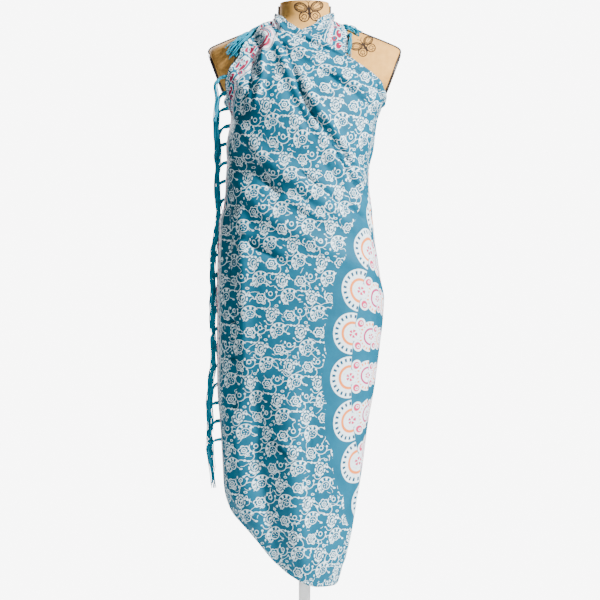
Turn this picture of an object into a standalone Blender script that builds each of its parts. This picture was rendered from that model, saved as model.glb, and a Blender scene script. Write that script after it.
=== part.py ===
# A batik sarong wound about a limbless dress form on a pole stand.
# Metres, +Z up. The viewer looks along +Y, and +X is at the viewer's right.
# The origin is the middle of the base's underside, on the pole's axis.

import math

import bmesh
import bpy
import numpy as np
from mathutils import Vector
from mathutils.bvhtree import BVHTree

# Driving sizes
CLOTH_THICKNESS = 0.0012
SEAM_GAP = 0.0003
CLOTH_CLEARANCE = 0.0007
BASE_STAND_OFF = 0.0010
FORM_TOP = 1.5155
FORM_BOTTOM = 0.735
FORM_SEGMENTS = 36
NECK_CAP_THICKNESS = 0.0042
POLE_RADIUS = 0.0125
POLE_SEGMENTS = 20
BASE_RADIUS = 0.185
BASE_THICKNESS = 0.016
BASE_COLLAR_RADIUS = 0.030
BASE_COLLAR_HEIGHT = 0.022
BASE_SEGMENTS = 40

# Arm plates: a plane that leans outwards towards the shoulder
PLATE_HEIGHT = 1.366
PLATE_REACH = 0.1867
PLATE_LEAN = 0.377
PLATE_HALF_HEIGHT = 0.046
PLATE_HALF_DEPTH = 0.050
BAND_RADIUS = 0.0024
PLATE_THICKNESS = 0.0055
PLATE_SEGMENTS = 28
ARM_BOTTOM = 1.314

# Rolled top edge of the cloth
ROLL_WIDTH = 0.017
ROLL_HEIGHT = 0.0055
ROLL_STEPS = (0.0, 0.0035, 0.0080, 0.0125, 0.0170)
GATHER_HEIGHT = 0.0012
GATHER_WAVES = 2.5

# Tie, knot and fringe
TIE_HALF_HEIGHT = 0.0085
TIE_HALF_THICKNESS = 0.0052
KNOT_HALF_SIZE = (0.0235, 0.0150, 0.0200)
STRIP_WIDTH = 0.0040
STRIP_GAP = 0.0005
STRIP_THICKNESS = 0.0012
STRAND_WIDTH = 0.0022
BUNDLE_STRANDS = 3
SLOTS_BEFORE_ARM = (-22, -25, -19, -14)
BUNDLE_SPACING = 0.040
STRAND_LENGTH = 0.092
STRAND_PITCH = 0.0036

# The figure: height, half width, front, back, squareness
# Rows below FORM_BOTTOM only guide how the cloth hangs
FIGURE = (
    (1.540, 0.0530, -0.052, 0.054, 2.00),
    (1.490, 0.0535, -0.052, 0.056, 2.00),
    (1.478, 0.0610, -0.054, 0.060, 2.00),
    (1.470, 0.0800, -0.056, 0.064, 2.00),
    (1.458, 0.1120, -0.060, 0.070, 2.05),
    (1.445, 0.1450, -0.064, 0.076, 2.10),
    (1.432, 0.1770, -0.069, 0.082, 2.20),
    (1.419, 0.2030, -0.074, 0.087, 2.30),
    (1.400, 0.2140, -0.082, 0.093, 2.40),
    (1.375, 0.2160, -0.092, 0.099, 2.40),
    (1.350, 0.2020, -0.103, 0.103, 2.35),
    (1.326, 0.1755, -0.114, 0.104, 2.30),
    (1.300, 0.1640, -0.124, 0.103, 2.30),
    (1.270, 0.1515, -0.130, 0.100, 2.25),
    (1.234, 0.1460, -0.131, 0.096, 2.20),
    (1.205, 0.1420, -0.126, 0.091, 2.20),
    (1.170, 0.1345, -0.114, 0.086, 2.20),
    (1.130, 0.1335, -0.105, 0.083, 2.20),
    (1.080, 0.1390, -0.104, 0.088, 2.20),
    (1.030, 0.1435, -0.109, 0.099, 2.20),
    (0.976, 0.1530, -0.115, 0.112, 2.20),
    (0.924, 0.1610, -0.119, 0.120, 2.20),
    (0.885, 0.1680, -0.119, 0.122, 2.20),
    (0.847, 0.1660, -0.117, 0.120, 2.20),
    (0.770, 0.1570, -0.112, 0.112, 2.20),
    (0.700, 0.1480, -0.108, 0.104, 2.20),
    (0.620, 0.1340, -0.103, 0.096, 2.20),
    (0.512, 0.1200, -0.094, 0.083, 2.15),
    (0.408, 0.1010, -0.086, 0.070, 2.10),
    (0.331, 0.0840, -0.080, 0.062, 2.05),
    (0.250, 0.0620, -0.074, 0.055, 2.00),
)

# How far the cloth hangs outside the figure: height, over the left side, right, under the left side, front, back
EASE = (
    (1.500, 0.000, 0.000, 0.000, 0.000, 0.000),
    (1.340, 0.000, 0.000, 0.000, 0.000, 0.000),
    (1.286, 0.003, 0.000, 0.000, 0.001, 0.001),
    (1.208, 0.024, 0.000, 0.004, 0.004, 0.006),
    (1.131, 0.034, 0.001, 0.012, 0.014, 0.012),
    (1.079, 0.033, 0.001, 0.014, 0.015, 0.010),
    (1.053, 0.040, 0.001, 0.014, 0.012, 0.006),
    (0.976, 0.032, 0.001, 0.010, 0.006, 0.001),
    (0.924, 0.025, 0.001, 0.005, 0.003, 0.000),
    (0.870, 0.019, 0.001, 0.002, 0.002, 0.001),
    (0.770, 0.029, 0.001, 0.010, 0.005, 0.008),
    (0.641, 0.044, 0.001, 0.028, 0.007, 0.012),
    (0.537, 0.051, 0.001, 0.038, 0.008, 0.014),
    (0.460, 0.057, 0.001, 0.044, 0.008, 0.014),
    (0.357, 0.057, 0.001, 0.044, 0.006, 0.012),
    (0.250, 0.057, 0.001, 0.044, 0.004, 0.010),
)

# Rows of the front: steps to the next row, then degrees and height at the fringed end and at the top edge or side
FRONT_ROWS = (
    (1, -90.0, 1.4770, -87.0, 1.4960),
    (1, -74.0, 1.4690, -64.0, 1.4880),
    (1, -58.0, 1.4590, -42.0, 1.4790),
    (1, -43.0, 1.4450, -15.0, 1.4640),
    (1, -37.0, 1.4220, -3.5, 1.4540),
    (1, -36.5, 1.3990, 6.0, 1.4380),
    (2, -40.0, 1.3760, 14.0, 1.4240),
    (2, -49.0, 1.3500, 24.5, 1.3960),
    (2, -64.0, 1.3160, 38.5, 1.3640),
    (2, -75.0, 1.2800, 62.0, 1.3330),
    (2, -83.0, 1.2280, 90.0, 1.3130),
    (3, -88.0, 1.1500, 90.0, 1.2400),
    (3, -91.0, 1.0400, 90.0, 1.1200),
    (3, -94.0, 0.9000, 90.0, 0.9700),
    (4, -98.0, 0.7600, 90.0, 0.8000),
)
SKIRT_ROWS = 9
UNDERARM_KEY = 10

# Hem all round, in degrees from the middle front towards the viewer's right, with its height
HEM = (
    (-104.0, 0.530),
    (-90.0, 0.490),
    (-80.0, 0.459),
    (-70.0, 0.434),
    (-55.0, 0.408),
    (-44.0, 0.383),
    (-36.0, 0.357),
    (-28.0, 0.331),
    (-16.0, 0.305),
    (6.0, 0.279),
    (25.0, 0.275),
    (50.0, 0.275),
    (90.0, 0.281),
    (135.0, 0.290),
    (180.0, 0.305),
    (205.0, 0.350),
    (225.0, 0.400),
    (245.0, 0.452),
    (270.0, 0.503),
    (300.0, 0.545),
)
BACK_TOP = (
    (90.0, 1.3130),
    (120.0, 1.3190),
    (180.0, 1.3150),
    (240.0, 1.3190),
    (262.0, 1.3130),
    (300.0, 1.3180),
)
BACK_COLUMNS = (90.0, 96.0, 104.0, 114.0, 125.0, 136.0, 147.0, 158.0, 169.0, 180.0, 191.0, 202.0, 213.0, 224.0,
                235.0, 246.0, 257.0, 267.0, 276.0, 286.0, 297.0)

# Columns of the front, as shares of the way from the fringed end, closer together at the deep fold
FRONT_COLUMNS = (0.0, 0.035, 0.075, 0.115, 0.150, 0.175, 0.195, 0.212, 0.230, 0.250, 0.275, 0.310, 0.360, 0.410,
                 0.460, 0.510, 0.560, 0.610, 0.660, 0.710, 0.760, 0.810, 0.860, 0.910, 0.960)

# The second end on the chest: degrees and height at its top edge and at its fringed end
UNDER_ROWS = (
    (1, 87.0, 1.4985, 90.0, 1.4840),
    (1, 57.0, 1.4900, 83.0, 1.4730),
    (1, 32.0, 1.4800, 60.0, 1.4635),
    (1, 13.0, 1.4670, 44.0, 1.4520),
    (1, -3.5, 1.4540, 31.0, 1.4320),
    (1, -14.0, 1.4300, 24.5, 1.4080),
    (1, -21.0, 1.4050, 21.0, 1.3880),
    (0, -26.0, 1.3750, 20.0, 1.3660),
)
UNDER_COLUMNS = 8

# Folds of the cloth, each with its height outwards, half width and path in degrees and height
FOLDS = (
    ("deep fold beside the border", -0.0130, 0.0100,
     ((-62.0, 1.085), (-56.0, 1.02), (-53.0, 0.93), (-51.5, 0.83), (-51.0, 0.74), (-50.0, 0.66))),
    ("edge that laps over the deep fold", 0.0050, 0.0120,
     ((-47.0, 1.10), (-41.0, 1.02), (-40.0, 0.93), (-39.0, 0.80), (-38.0, 0.70))),
    ("first fold from the neck", 0.0038, 0.0080,
     ((-74.0, 1.470), (-50.0, 1.430), (-42.0, 1.370), (-40.0, 1.300))),
    ("hollow between the folds from the neck", -0.0030, 0.0070,
     ((-66.0, 1.474), (-34.0, 1.430), (-27.0, 1.370), (-25.0, 1.300))),
    ("second fold from the neck", 0.0042, 0.0080,
     ((-60.0, 1.478), (-22.0, 1.440), (-13.0, 1.395), (-9.0, 1.350))),
    ("long crease over the bust", 0.0065, 0.0120,
     ((-9.0, 1.376), (-5.0, 1.329), (1.0, 1.298), (13.5, 1.247), (33.0, 1.172), (56.0, 1.107), (70.0, 1.03))),
    ("hollow beside the long crease", -0.0050, 0.0110,
     ((-14.0, 1.350), (-8.0, 1.290), (4.0, 1.225), (20.0, 1.160), (38.0, 1.090))),
    ("first slanting ridge", 0.0065, 0.0160,
     ((-52.0, 1.245), (-30.0, 1.185), (-8.0, 1.135), (20.0, 1.075), (52.0, 1.010))),
    ("second slanting ridge", 0.0060, 0.0180,
     ((-58.0, 1.150), (-36.0, 1.090), (-12.0, 1.035), (18.0, 0.985), (48.0, 0.945))),
    ("short crease under the bust", 0.0030, 0.0090,
     ((-20.0, 1.182), (-1.0, 1.150), (12.0, 1.124), (23.0, 1.096))),
    ("trough of the lower left", -0.0100, 0.0230,
     ((-33.0, 0.700), (-29.0, 0.60), (-26.0, 0.50), (-22.0, 0.40), (-18.0, 0.33))),
    ("ridge of the lower left", 0.0060, 0.0200,
     ((-52.0, 0.640), (-47.0, 0.55), (-42.0, 0.47), (-38.0, 0.40))),
    ("ridge of the lower middle", 0.0050, 0.0180,
     ((-8.0, 0.760), (-6.0, 0.62), (-3.0, 0.48), (0.0, 0.34))),
    ("fold at the right of the skirt", 0.0040, 0.0150,
     ((48.0, 0.700), (52.0, 0.56), (58.0, 0.42), (62.0, 0.33))),
    ("fold under the right arm", 0.0040, 0.0110,
     ((98.0, 1.300), (100.0, 1.21), (97.0, 1.12))),
    ("slanting fold of the upper back", 0.0050, 0.0160,
     ((112.0, 1.255), (140.0, 1.215), (170.0, 1.165), (205.0, 1.120))),
    ("slanting fold of the middle back", 0.0045, 0.0170,
     ((120.0, 1.130), (150.0, 1.095), (185.0, 1.055), (225.0, 1.030))),
    ("first hanging fold of the back", 0.0080, 0.0200,
     ((142.0, 0.860), (144.0, 0.70), (147.0, 0.50), (149.0, 0.32))),
    ("hollow of the back", -0.0070, 0.0190,
     ((168.0, 0.800), (170.0, 0.62), (172.0, 0.42), (173.0, 0.32))),
    ("second hanging fold of the back", 0.0090, 0.0200,
     ((190.0, 0.900), (194.0, 0.72), (199.0, 0.52), (203.0, 0.38))),
    ("third hanging fold of the back", 0.0060, 0.0180,
     ((226.0, 0.840), (230.0, 0.68), (234.0, 0.52))),
)

# Free corners behind the neck: degrees and height at the two sides
TAIL_LEFT_ROWS = (
    (1, 181.5, 1.4500, 190.0, 1.4500),
    (2, 184.0, 1.4250, 195.0, 1.4230),
    (2, 188.0, 1.3900, 203.0, 1.3880),
    (0, 191.0, 1.3620, 206.0, 1.3500),
)
TAIL_RIGHT_ROWS = (
    (1, 170.0, 1.4500, 178.5, 1.4500),
    (2, 163.0, 1.4250, 176.5, 1.4200),
    (2, 158.0, 1.3930, 174.0, 1.3800),
    (0, 156.0, 1.3720, 171.0, 1.3520),
)
TAIL_COLUMNS = 5

# How far left the side fringe hangs, by height
RAIL = (
    (1.320, -0.1850),
    (1.180, -0.1865),
    (1.080, -0.1850),
    (1.000, -0.1930),
    (0.900, -0.1980),
    (0.800, -0.1960),
    (0.700, -0.2010),
    (0.600, -0.2060),
    (0.500, -0.1960),
)

# Colours: red, green, blue, then roughness
COLOURS = {
    "batik": ((0.03, 0.45, 0.60), 0.62),
    "linen": ((0.60, 0.43, 0.26), 0.85),
    "trim": ((0.012, 0.012, 0.014), 0.55),
    "lacquer": ((0.86, 0.86, 0.85), 0.30),
}

# Materials


def finish(name):
    """Gives the Principled material of one of the colours."""
    material = bpy.data.materials.get(name)
    if material:
        return material
    colour, roughness = COLOURS[name]
    material = bpy.data.materials.new(name)
    material.use_nodes = True
    shader = material.node_tree.nodes["Principled BSDF"]
    shader.inputs["Base Color"].default_value = (*colour, 1.0)
    shader.inputs["Roughness"].default_value = roughness
    shader.inputs["Metallic"].default_value = 0.0
    return material


# Smooth tables


def smooth_column(knots, values):
    """Returns a smooth function through the values that never swings past them."""
    order = np.argsort(knots)
    x = np.asarray(knots, dtype=float)[order]
    y = np.asarray(values, dtype=float)[order]
    steps = np.diff(x)
    slopes = np.diff(y) / steps
    tangents = np.zeros(len(x))
    tangents[0] = slopes[0]
    tangents[-1] = slopes[-1]
    for i in range(1, len(x) - 1):
        if slopes[i - 1] * slopes[i] > 0:
            before = 2 * steps[i] + steps[i - 1]
            after = steps[i] + 2 * steps[i - 1]
            tangents[i] = (before + after) / (before / slopes[i - 1] + after / slopes[i])

    def value(at):
        at = min(max(at, x[0]), x[-1])
        i = min(max(int(np.searchsorted(x, at)) - 1, 0), len(steps) - 1)
        s = (at - x[i]) / steps[i]
        low = (2 * s ** 3 - 3 * s ** 2 + 1) * y[i] + (s ** 3 - 2 * s ** 2 + s) * steps[i] * tangents[i]
        high = (3 * s ** 2 - 2 * s ** 3) * y[i + 1] + (s ** 3 - s ** 2) * steps[i] * tangents[i + 1]
        return low + high

    return value


def smooth_table(rows):
    """Returns one smooth function of the first column for each other column."""
    columns = list(zip(*rows))
    return [smooth_column(columns[0], column) for column in columns[1:]]


half_width, figure_front, figure_back, squareness = smooth_table(FIGURE)
ease_over, ease_right, ease_under, ease_front, ease_back = smooth_table(EASE)
hem_height, = smooth_table(HEM)
back_top, = smooth_table(BACK_TOP)
rail_reach, = smooth_table(RAIL)
USED_SLOTS = []


# Surfaces


def ring_point(height, degrees, left, right, front, back):
    """Gives the point of a rounded section at an angle from the middle front."""
    turn = math.radians(degrees)
    across = math.sin(turn)
    along = -math.cos(turn)
    power = squareness(height)
    reach = (abs(across) ** power + abs(along) ** power) ** (-1 / power)
    side = right if across > 0 else left
    depth = back if along > 0 else -front
    return np.array((side * reach * across, depth * reach * along, height))


def figure_point(height, degrees):
    """Gives the point of the dress form's skin."""
    side = half_width(height)
    return ring_point(height, degrees, side, side, figure_front(height), figure_back(height))


def carrier_point(height, degrees):
    """Gives the point of the smooth shape that the cloth follows."""
    side = half_width(height)
    left = side + (ease_over(height) if degrees < 0 else ease_under(height))
    right = side + ease_right(height)
    front = figure_front(height) - ease_front(height)
    back = figure_back(height) + ease_back(height)
    if degrees < -90:
        back += 0.006
    return ring_point(height, degrees, left, right, front, back)


def outwards(surface, height, degrees):
    """Gives the outward direction of a surface at a place."""
    small_turn = 0.5
    small_rise = 0.002
    across = surface(height, degrees + small_turn) - surface(height, degrees - small_turn)
    up = surface(height + small_rise, degrees) - surface(height - small_rise, degrees)
    direction = np.cross(across, up)
    return direction / np.linalg.norm(direction)


# Rows and folds


def unrolled(degrees, height):
    """Lays a place of the tube flat, in metres."""
    return np.array((math.radians(degrees) * (0.155 + 0.1 * max(0.0, 0.02 - abs(height - 1.38))), height))


def distance_to_path(place, path):
    """Gives how far a flat place lies from a line of flat points, and how far along it, from 0 to 1."""
    nearest = 1e9
    along = 0.0
    last = len(path) - 1
    for i in range(last):
        step = path[i + 1] - path[i]
        share = float(np.dot(place - path[i], step) / np.dot(step, step))
        share = min(max(share, 0.0), 1.0)
        gap = float(np.linalg.norm(place - path[i] - share * step))
        if gap < nearest:
            nearest = gap
            along = (i + share) / last
    return nearest, along


def spread_rows(table):
    """Fills in the rows between those of a table, each as its left and right place."""
    keys = []
    key = 0.0
    for row in table:
        keys.append(key)
        key += row[0]
    columns = [smooth_column(keys, column) for column in list(zip(*table))[1:]]
    rows = []
    for step in range(int(keys[-1]) + 1):
        rows.append([column(step) for column in columns])
    return rows


FRONT_LINES = spread_rows(FRONT_ROWS)
UNDERARM_ROW = sum(row[0] for row in FRONT_ROWS[:UNDERARM_KEY])
TOP_EDGE = [unrolled(row[2], row[3]) for row in FRONT_LINES[:UNDERARM_ROW + 1]]
TOP_EDGE += [unrolled(degrees, back_top(degrees)) for degrees in BACK_COLUMNS[1:]]
FOLD_PATHS = [[unrolled(*place) for place in fold[3]] for fold in FOLDS]


def relief(degrees, height):
    """Gives how far the folds raise the cloth at a place."""
    place = unrolled(degrees, height)
    raised = 0.0
    for fold, path in zip(FOLDS, FOLD_PATHS):
        gap, along = distance_to_path(place, path)
        fade = math.sin(math.pi * (0.08 + 0.84 * along)) ** 0.6
        raised += fold[1] * fade * math.exp(-((gap / fold[2]) ** 2))
    gap, along = distance_to_path(place, TOP_EDGE)
    if gap < ROLL_WIDTH:
        fullness = min(1.0, 0.25 + 6.0 * along)
        raised += ROLL_HEIGHT * fullness * math.sin(math.pi * gap / ROLL_WIDTH)
    return raised


def cloth_point(degrees, height, extra=0.0):
    """Gives the inner point of the wound cloth at a place."""
    point = carrier_point(height, degrees)
    direction = outwards(carrier_point, height, degrees)
    return point + direction * (BASE_STAND_OFF + relief(degrees, height) + extra)


def front_grid():
    """Works out the inner points of the stretch across the front, from the neck to the hem."""
    lines = FRONT_LINES + [None] * SKIRT_ROWS
    base = FRONT_LINES[-1]
    grid = []
    for number, line in enumerate(lines):
        fall = 0.0
        if line is None:
            fall = (number - len(FRONT_LINES) + 1) / SKIRT_ROWS
            line = base
        left_end = line[0] + fall * (HEM[0][0] - line[0])
        length = float(np.linalg.norm(unrolled(left_end, line[1]) - unrolled(line[2], line[3])))
        squeeze = min(1.0, length / 0.12)
        roll = [step * squeeze / length for step in reversed(ROLL_STEPS)]
        shares = [share * (1.0 - roll[0]) for share in FRONT_COLUMNS] + [1.0 - share for share in roll]
        gather = max(0.0, 1.0 - number / (UNDERARM_ROW - 2)) ** 1.5
        row = []
        for share in shares:
            degrees = left_end + share * (line[2] - left_end)
            height = line[1] + share * (line[3] - line[1])
            if fall:
                height += fall * (hem_height(degrees) - height)
            wave = GATHER_HEIGHT * gather * (1.0 - math.cos(2 * math.pi * GATHER_WAVES * share))
            row.append(cloth_point(degrees, height, wave))
        grid.append(row)
    return np.array(grid)


def back_grid():
    """Works out the inner points of the stretch round the back, from its top edge to the hem."""
    top = FRONT_LINES[UNDERARM_ROW][3]
    side_heights = [line[3] for line in FRONT_LINES[UNDERARM_ROW:]]
    base = side_heights[-1]
    hem = hem_height(90.0)
    side_heights += [base + (step + 1) / SKIRT_ROWS * (hem - base) for step in range(SKIRT_ROWS)]
    grid = []
    for side_height in side_heights:
        share = (top - side_height) / (top - hem)
        row = []
        for degrees in BACK_COLUMNS:
            height = back_top(degrees) + share * (hem_height(degrees) - back_top(degrees))
            row.append(cloth_point(degrees, height))
        grid.append(row)
    return np.array(grid)


def panel_grid(table, columns, stand_off):
    """Works out the inner points of a small panel that lies on the dress form."""
    grid = []
    for left, left_height, right, right_height in spread_rows(table):
        row = []
        for step in range(columns):
            share = step / (columns - 1)
            degrees = left + share * (right - left)
            height = left_height + share * (right_height - left_height)
            point = figure_point(height, degrees)
            row.append(point + outwards(figure_point, height, degrees) * stand_off)
        grid.append(row)
    return np.array(grid)


# Keeping clear of what lies below


def tree_of(mesh_objects, grids=()):
    """Builds a search tree from finished meshes and from grids of points."""
    points = []
    faces = []
    for item in mesh_objects:
        start = len(points)
        points += [tuple(vertex.co) for vertex in item.data.vertices]
        faces += [[start + corner for corner in face.vertices] for face in item.data.polygons]
    for grid in grids:
        start = len(points)
        rows, columns = grid.shape[:2]
        points += [tuple(point) for row in grid for point in row]
        for r in range(rows - 1):
            for c in range(columns - 1):
                first = start + r * columns + c
                faces.append([first, first + columns, first + columns + 1, first + 1])
    return BVHTree.FromPolygons(points, faces)


def ease_off(grid, tree, gap, columns=None, rounds=8):
    """Pushes the points of a grid outwards until its faces keep a gap to what lies below."""
    rows, width = grid.shape[:2]
    columns = columns or width
    reach = 0.03
    for _ in range(rounds):
        push = np.zeros(grid.shape)
        for r in range(rows):
            for c in range(columns):
                samples = [((r, c),)]
                if r + 1 < rows:
                    samples.append(((r, c), (r + 1, c)))
                if c + 1 < width:
                    samples.append(((r, c), (r, c + 1)))
                if r + 1 < rows and c + 1 < width:
                    samples.append(((r, c), (r + 1, c + 1)))
                    samples.append(((r + 1, c), (r, c + 1)))
                for corners in samples:
                    point = sum(grid[corner] for corner in corners) / len(corners)
                    found, normal, _, _ = tree.find_nearest(point, reach)
                    if found is None:
                        continue
                    normal = np.array(normal)
                    height = float(np.dot(point - np.array(found), normal))
                    if height >= gap:
                        continue
                    for corner in corners:
                        if gap - height > np.linalg.norm(push[corner]):
                            push[corner] = normal * (gap - height)
        if not push.any():
            break
        grid += push * 1.02
    return grid


# Solids


def link(name, mesh, material):
    """Makes a named object of a mesh, with its finish."""
    mesh.materials.append(finish(material))
    item = bpy.data.objects.new(name, mesh)
    bpy.context.scene.collection.objects.link(item)
    return item


def solid_from_bmesh(name, work, material, smooth=True):
    """Turns finished mesh work into a named object with its faces outwards."""
    bmesh.ops.recalc_face_normals(work, faces=work.faces)
    mesh = bpy.data.meshes.new(name)
    work.to_mesh(mesh)
    work.free()
    if smooth:
        mesh.shade_smooth()
        mesh.set_sharp_from_angle(angle=math.radians(50))
    return link(name, mesh, material)


def grid_normals(grid):
    """Gives the outward direction at each point of a grid."""
    down = np.gradient(grid, axis=0)
    along = np.gradient(grid, axis=1)
    normals = np.cross(down, along)
    normals /= np.linalg.norm(normals, axis=2)[:, :, None] + 1e-12
    return normals


def outer_grid(inner, thickness=CLOTH_THICKNESS):
    """Moves the points of an inner grid out by the thickness."""
    normals = grid_normals(inner)
    middle = inner.shape[0] // 2, inner.shape[1] // 2
    centre = np.array((0.0, 0.0, inner[middle][2]))
    if np.dot(normals[middle], inner[middle] - centre) < 0:
        normals = -normals
    return inner + normals * thickness


def wall(name, inner, outer, material):
    """Makes a closed wall between its inner and outer points."""
    rows, columns = inner.shape[:2]
    work = bmesh.new()
    outside = [[work.verts.new(point) for point in row] for row in outer]
    inside = [[work.verts.new(point) for point in row] for row in inner]
    for r in range(rows - 1):
        for c in range(columns - 1):
            work.faces.new((outside[r][c], outside[r + 1][c], outside[r + 1][c + 1], outside[r][c + 1]))
            work.faces.new((inside[r][c], inside[r][c + 1], inside[r + 1][c + 1], inside[r + 1][c]))
    for r in range(rows - 1):
        for c in (0, columns - 1):
            work.faces.new((outside[r][c], outside[r + 1][c], inside[r + 1][c], inside[r][c]))
    for c in range(columns - 1):
        for r in (0, rows - 1):
            work.faces.new((outside[r][c], outside[r][c + 1], inside[r][c + 1], inside[r][c]))
    return solid_from_bmesh(name, work, material)


def loft(name, rings, material, smooth=True):
    """Makes a closed solid through rings of points, with a flat cap at each end."""
    work = bmesh.new()
    loops = [[work.verts.new(point) for point in ring] for ring in rings]
    count = len(loops[0])
    for lower, upper in zip(loops, loops[1:]):
        for i in range(count):
            j = (i + 1) % count
            work.faces.new((lower[i], lower[j], upper[j], upper[i]))
    work.faces.new(loops[0])
    work.faces.new(loops[-1])
    return solid_from_bmesh(name, work, material, smooth)


# The dress form and its stand


def plate_frame(side):
    """Gives an arm plate's middle and its outward, upward and backward directions."""
    lean = math.atan(PLATE_LEAN)
    middle = np.array((side * PLATE_REACH, 0.002, PLATE_HEIGHT))
    outward = np.array((side * math.cos(lean), 0.0, -math.sin(lean)))
    upward = np.array((side * math.sin(lean), 0.0, math.cos(lean)))
    return middle, outward, upward, np.array((0.0, 1.0, 0.0))


def plate_ring(side, reach, inset):
    """Gives an oval of points on an arm plate, at a distance out from the cut."""
    middle, outward, upward, backward = plate_frame(side)
    ring = []
    for step in range(PLATE_SEGMENTS):
        turn = 2 * math.pi * step / PLATE_SEGMENTS
        high = (PLATE_HALF_HEIGHT - inset) * math.sin(turn)
        deep = (PLATE_HALF_DEPTH - inset) * math.cos(turn)
        ring.append(middle + outward * reach + upward * high + backward * deep)
    return ring


def make_form_body():
    """Lofts the padded torso, flat where the arms would be."""
    heights = [row[0] for row in FIGURE if FORM_BOTTOM + 0.01 < row[0] < FORM_TOP]
    heights = [FORM_TOP] + heights + [FORM_BOTTOM]
    heights += [ARM_BOTTOM + 0.001, 1.338, 1.363, 1.388]
    heights.sort(reverse=True)
    rings = []
    for height in heights:
        turns = [360.0 * step / FORM_SEGMENTS for step in range(FORM_SEGMENTS)]
        rings.append([figure_point(height, turn) for turn in turns])
    for ring in rings:
        for point in ring:
            reach = PLATE_REACH + PLATE_LEAN * (point[2] - PLATE_HEIGHT)
            if point[2] > ARM_BOTTOM and abs(point[0]) > reach:
                point[0] = math.copysign(reach, point[0])
    return loft("form_body", rings, "linen")


def make_neck_cap():
    """Makes the flat disc that closes the neck."""
    lower = FORM_TOP + SEAM_GAP
    rings = []
    for height, inset in ((lower, 0.0006), (lower + NECK_CAP_THICKNESS - 0.001, 0.0006),
                          (lower + NECK_CAP_THICKNESS, 0.0022)):
        ring = []
        for step in range(FORM_SEGMENTS):
            point = figure_point(FORM_TOP, 360.0 * step / FORM_SEGMENTS)
            spoke = np.array((point[0], point[1], 0.0))
            point = point - spoke / np.linalg.norm(spoke) * inset
            ring.append((point[0], point[1], height))
        rings.append(ring)
    return loft("neck_cap", rings, "linen")


def make_arm_plate(name, side):
    """Makes the domed plate over a cut arm."""
    inside = 2 * BAND_RADIUS + SEAM_GAP
    steps = ((SEAM_GAP, inside), (PLATE_THICKNESS - 0.002, inside), (PLATE_THICKNESS, inside + 0.004))
    return loft(name, [plate_ring(side, reach, inset) for reach, inset in steps], "linen")


def make_arm_band(name, side):
    """Makes the black piping round an arm plate."""
    _, outward, _, _ = plate_frame(side)
    around = 6
    inner = plate_ring(side, SEAM_GAP + BAND_RADIUS, 2 * BAND_RADIUS)
    outer = plate_ring(side, SEAM_GAP + BAND_RADIUS, 0.0)
    work = bmesh.new()
    loops = []
    for near, far in zip(inner, outer):
        centre = (near + far) / 2
        across = (far - near) / np.linalg.norm(far - near)
        loop = []
        for step in range(around):
            turn = 2 * math.pi * (step + 0.5) / around
            place = centre + (across * math.cos(turn) + outward * math.sin(turn)) * BAND_RADIUS
            loop.append(work.verts.new(place))
        loops.append(loop)
    for loop, following in zip(loops, loops[1:] + loops[:1]):
        for i in range(around):
            j = (i + 1) % around
            work.faces.new((loop[i], loop[j], following[j], following[i]))
    return solid_from_bmesh(name, work, "trim")


def circle(radius, height, segments):
    """Gives a level circle of points."""
    turns = [2 * math.pi * step / segments for step in range(segments)]
    return [(radius * math.cos(turn), radius * math.sin(turn), height) for turn in turns]


def make_stand():
    """Makes the round base with its collar, and the pole up to the form."""
    foot = BASE_THICKNESS + BASE_COLLAR_HEIGHT
    steps = ((BASE_RADIUS - 0.002, 0.0), (BASE_RADIUS, 0.002), (BASE_RADIUS, BASE_THICKNESS * 0.6),
             (BASE_RADIUS - 0.006, BASE_THICKNESS), (BASE_COLLAR_RADIUS, BASE_THICKNESS + 0.004),
             (BASE_COLLAR_RADIUS - 0.004, foot))
    loft("stand_base", [circle(radius, height, BASE_SEGMENTS) for radius, height in steps], "lacquer")
    steps = ((POLE_RADIUS, foot + SEAM_GAP), (POLE_RADIUS, FORM_BOTTOM - SEAM_GAP))
    loft("stand_pole", [circle(radius, height, POLE_SEGMENTS) for radius, height in steps], "lacquer")


# The tied corners


def make_tie(name, start, end, start_height, end_height, inner_gap):
    """Makes a gathered corner that is led round the neck from one angle to another."""
    steps = 9
    around = 12
    rings = []
    for step in range(steps):
        share = step / (steps - 1)
        degrees = start + share * (end - start)
        height = start_height + share * (end_height - start_height)
        surface = figure_point(height, degrees)
        direction = outwards(figure_point, height, degrees)
        direction = np.array((direction[0], direction[1], 0.0)) / math.hypot(direction[0], direction[1])
        centre = surface + direction * (TIE_HALF_THICKNESS + inner_gap)
        ring = []
        for corner in range(around):
            turn = 2 * math.pi * corner / around
            groove = 1.0 - 0.13 * math.cos(3 * turn + 2.4 * share)
            out = direction * TIE_HALF_THICKNESS * math.cos(turn) * groove
            up = np.array((0.0, 0.0, TIE_HALF_HEIGHT * math.sin(turn)))
            ring.append(centre + out + up)
        rings.append(ring)
    return loft(name, rings, "batik")


def make_knot():
    """Makes the knot behind the neck as one rounded lump with the creases of its turns."""
    rows = 8
    around = 14
    height = 1.481
    back = figure_back(height)
    centre = np.array((0.0, back + KNOT_HALF_SIZE[1] + 0.0034, height))
    rings = []
    for row in range(1, rows):
        tip = math.pi * row / rows
        ring = []
        for step in range(around):
            turn = 2 * math.pi * step / around
            crease = 1.0 - 0.10 * math.cos(3 * turn + 4 * math.cos(tip))
            shape = np.array((math.cos(tip), math.sin(tip) * math.cos(turn) * crease,
                              math.sin(tip) * math.sin(turn) * crease))
            ring.append(centre + shape * np.array(KNOT_HALF_SIZE))
        rings.append(ring)
    return loft("neck_knot", rings, "batik")


# Fringe


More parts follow.
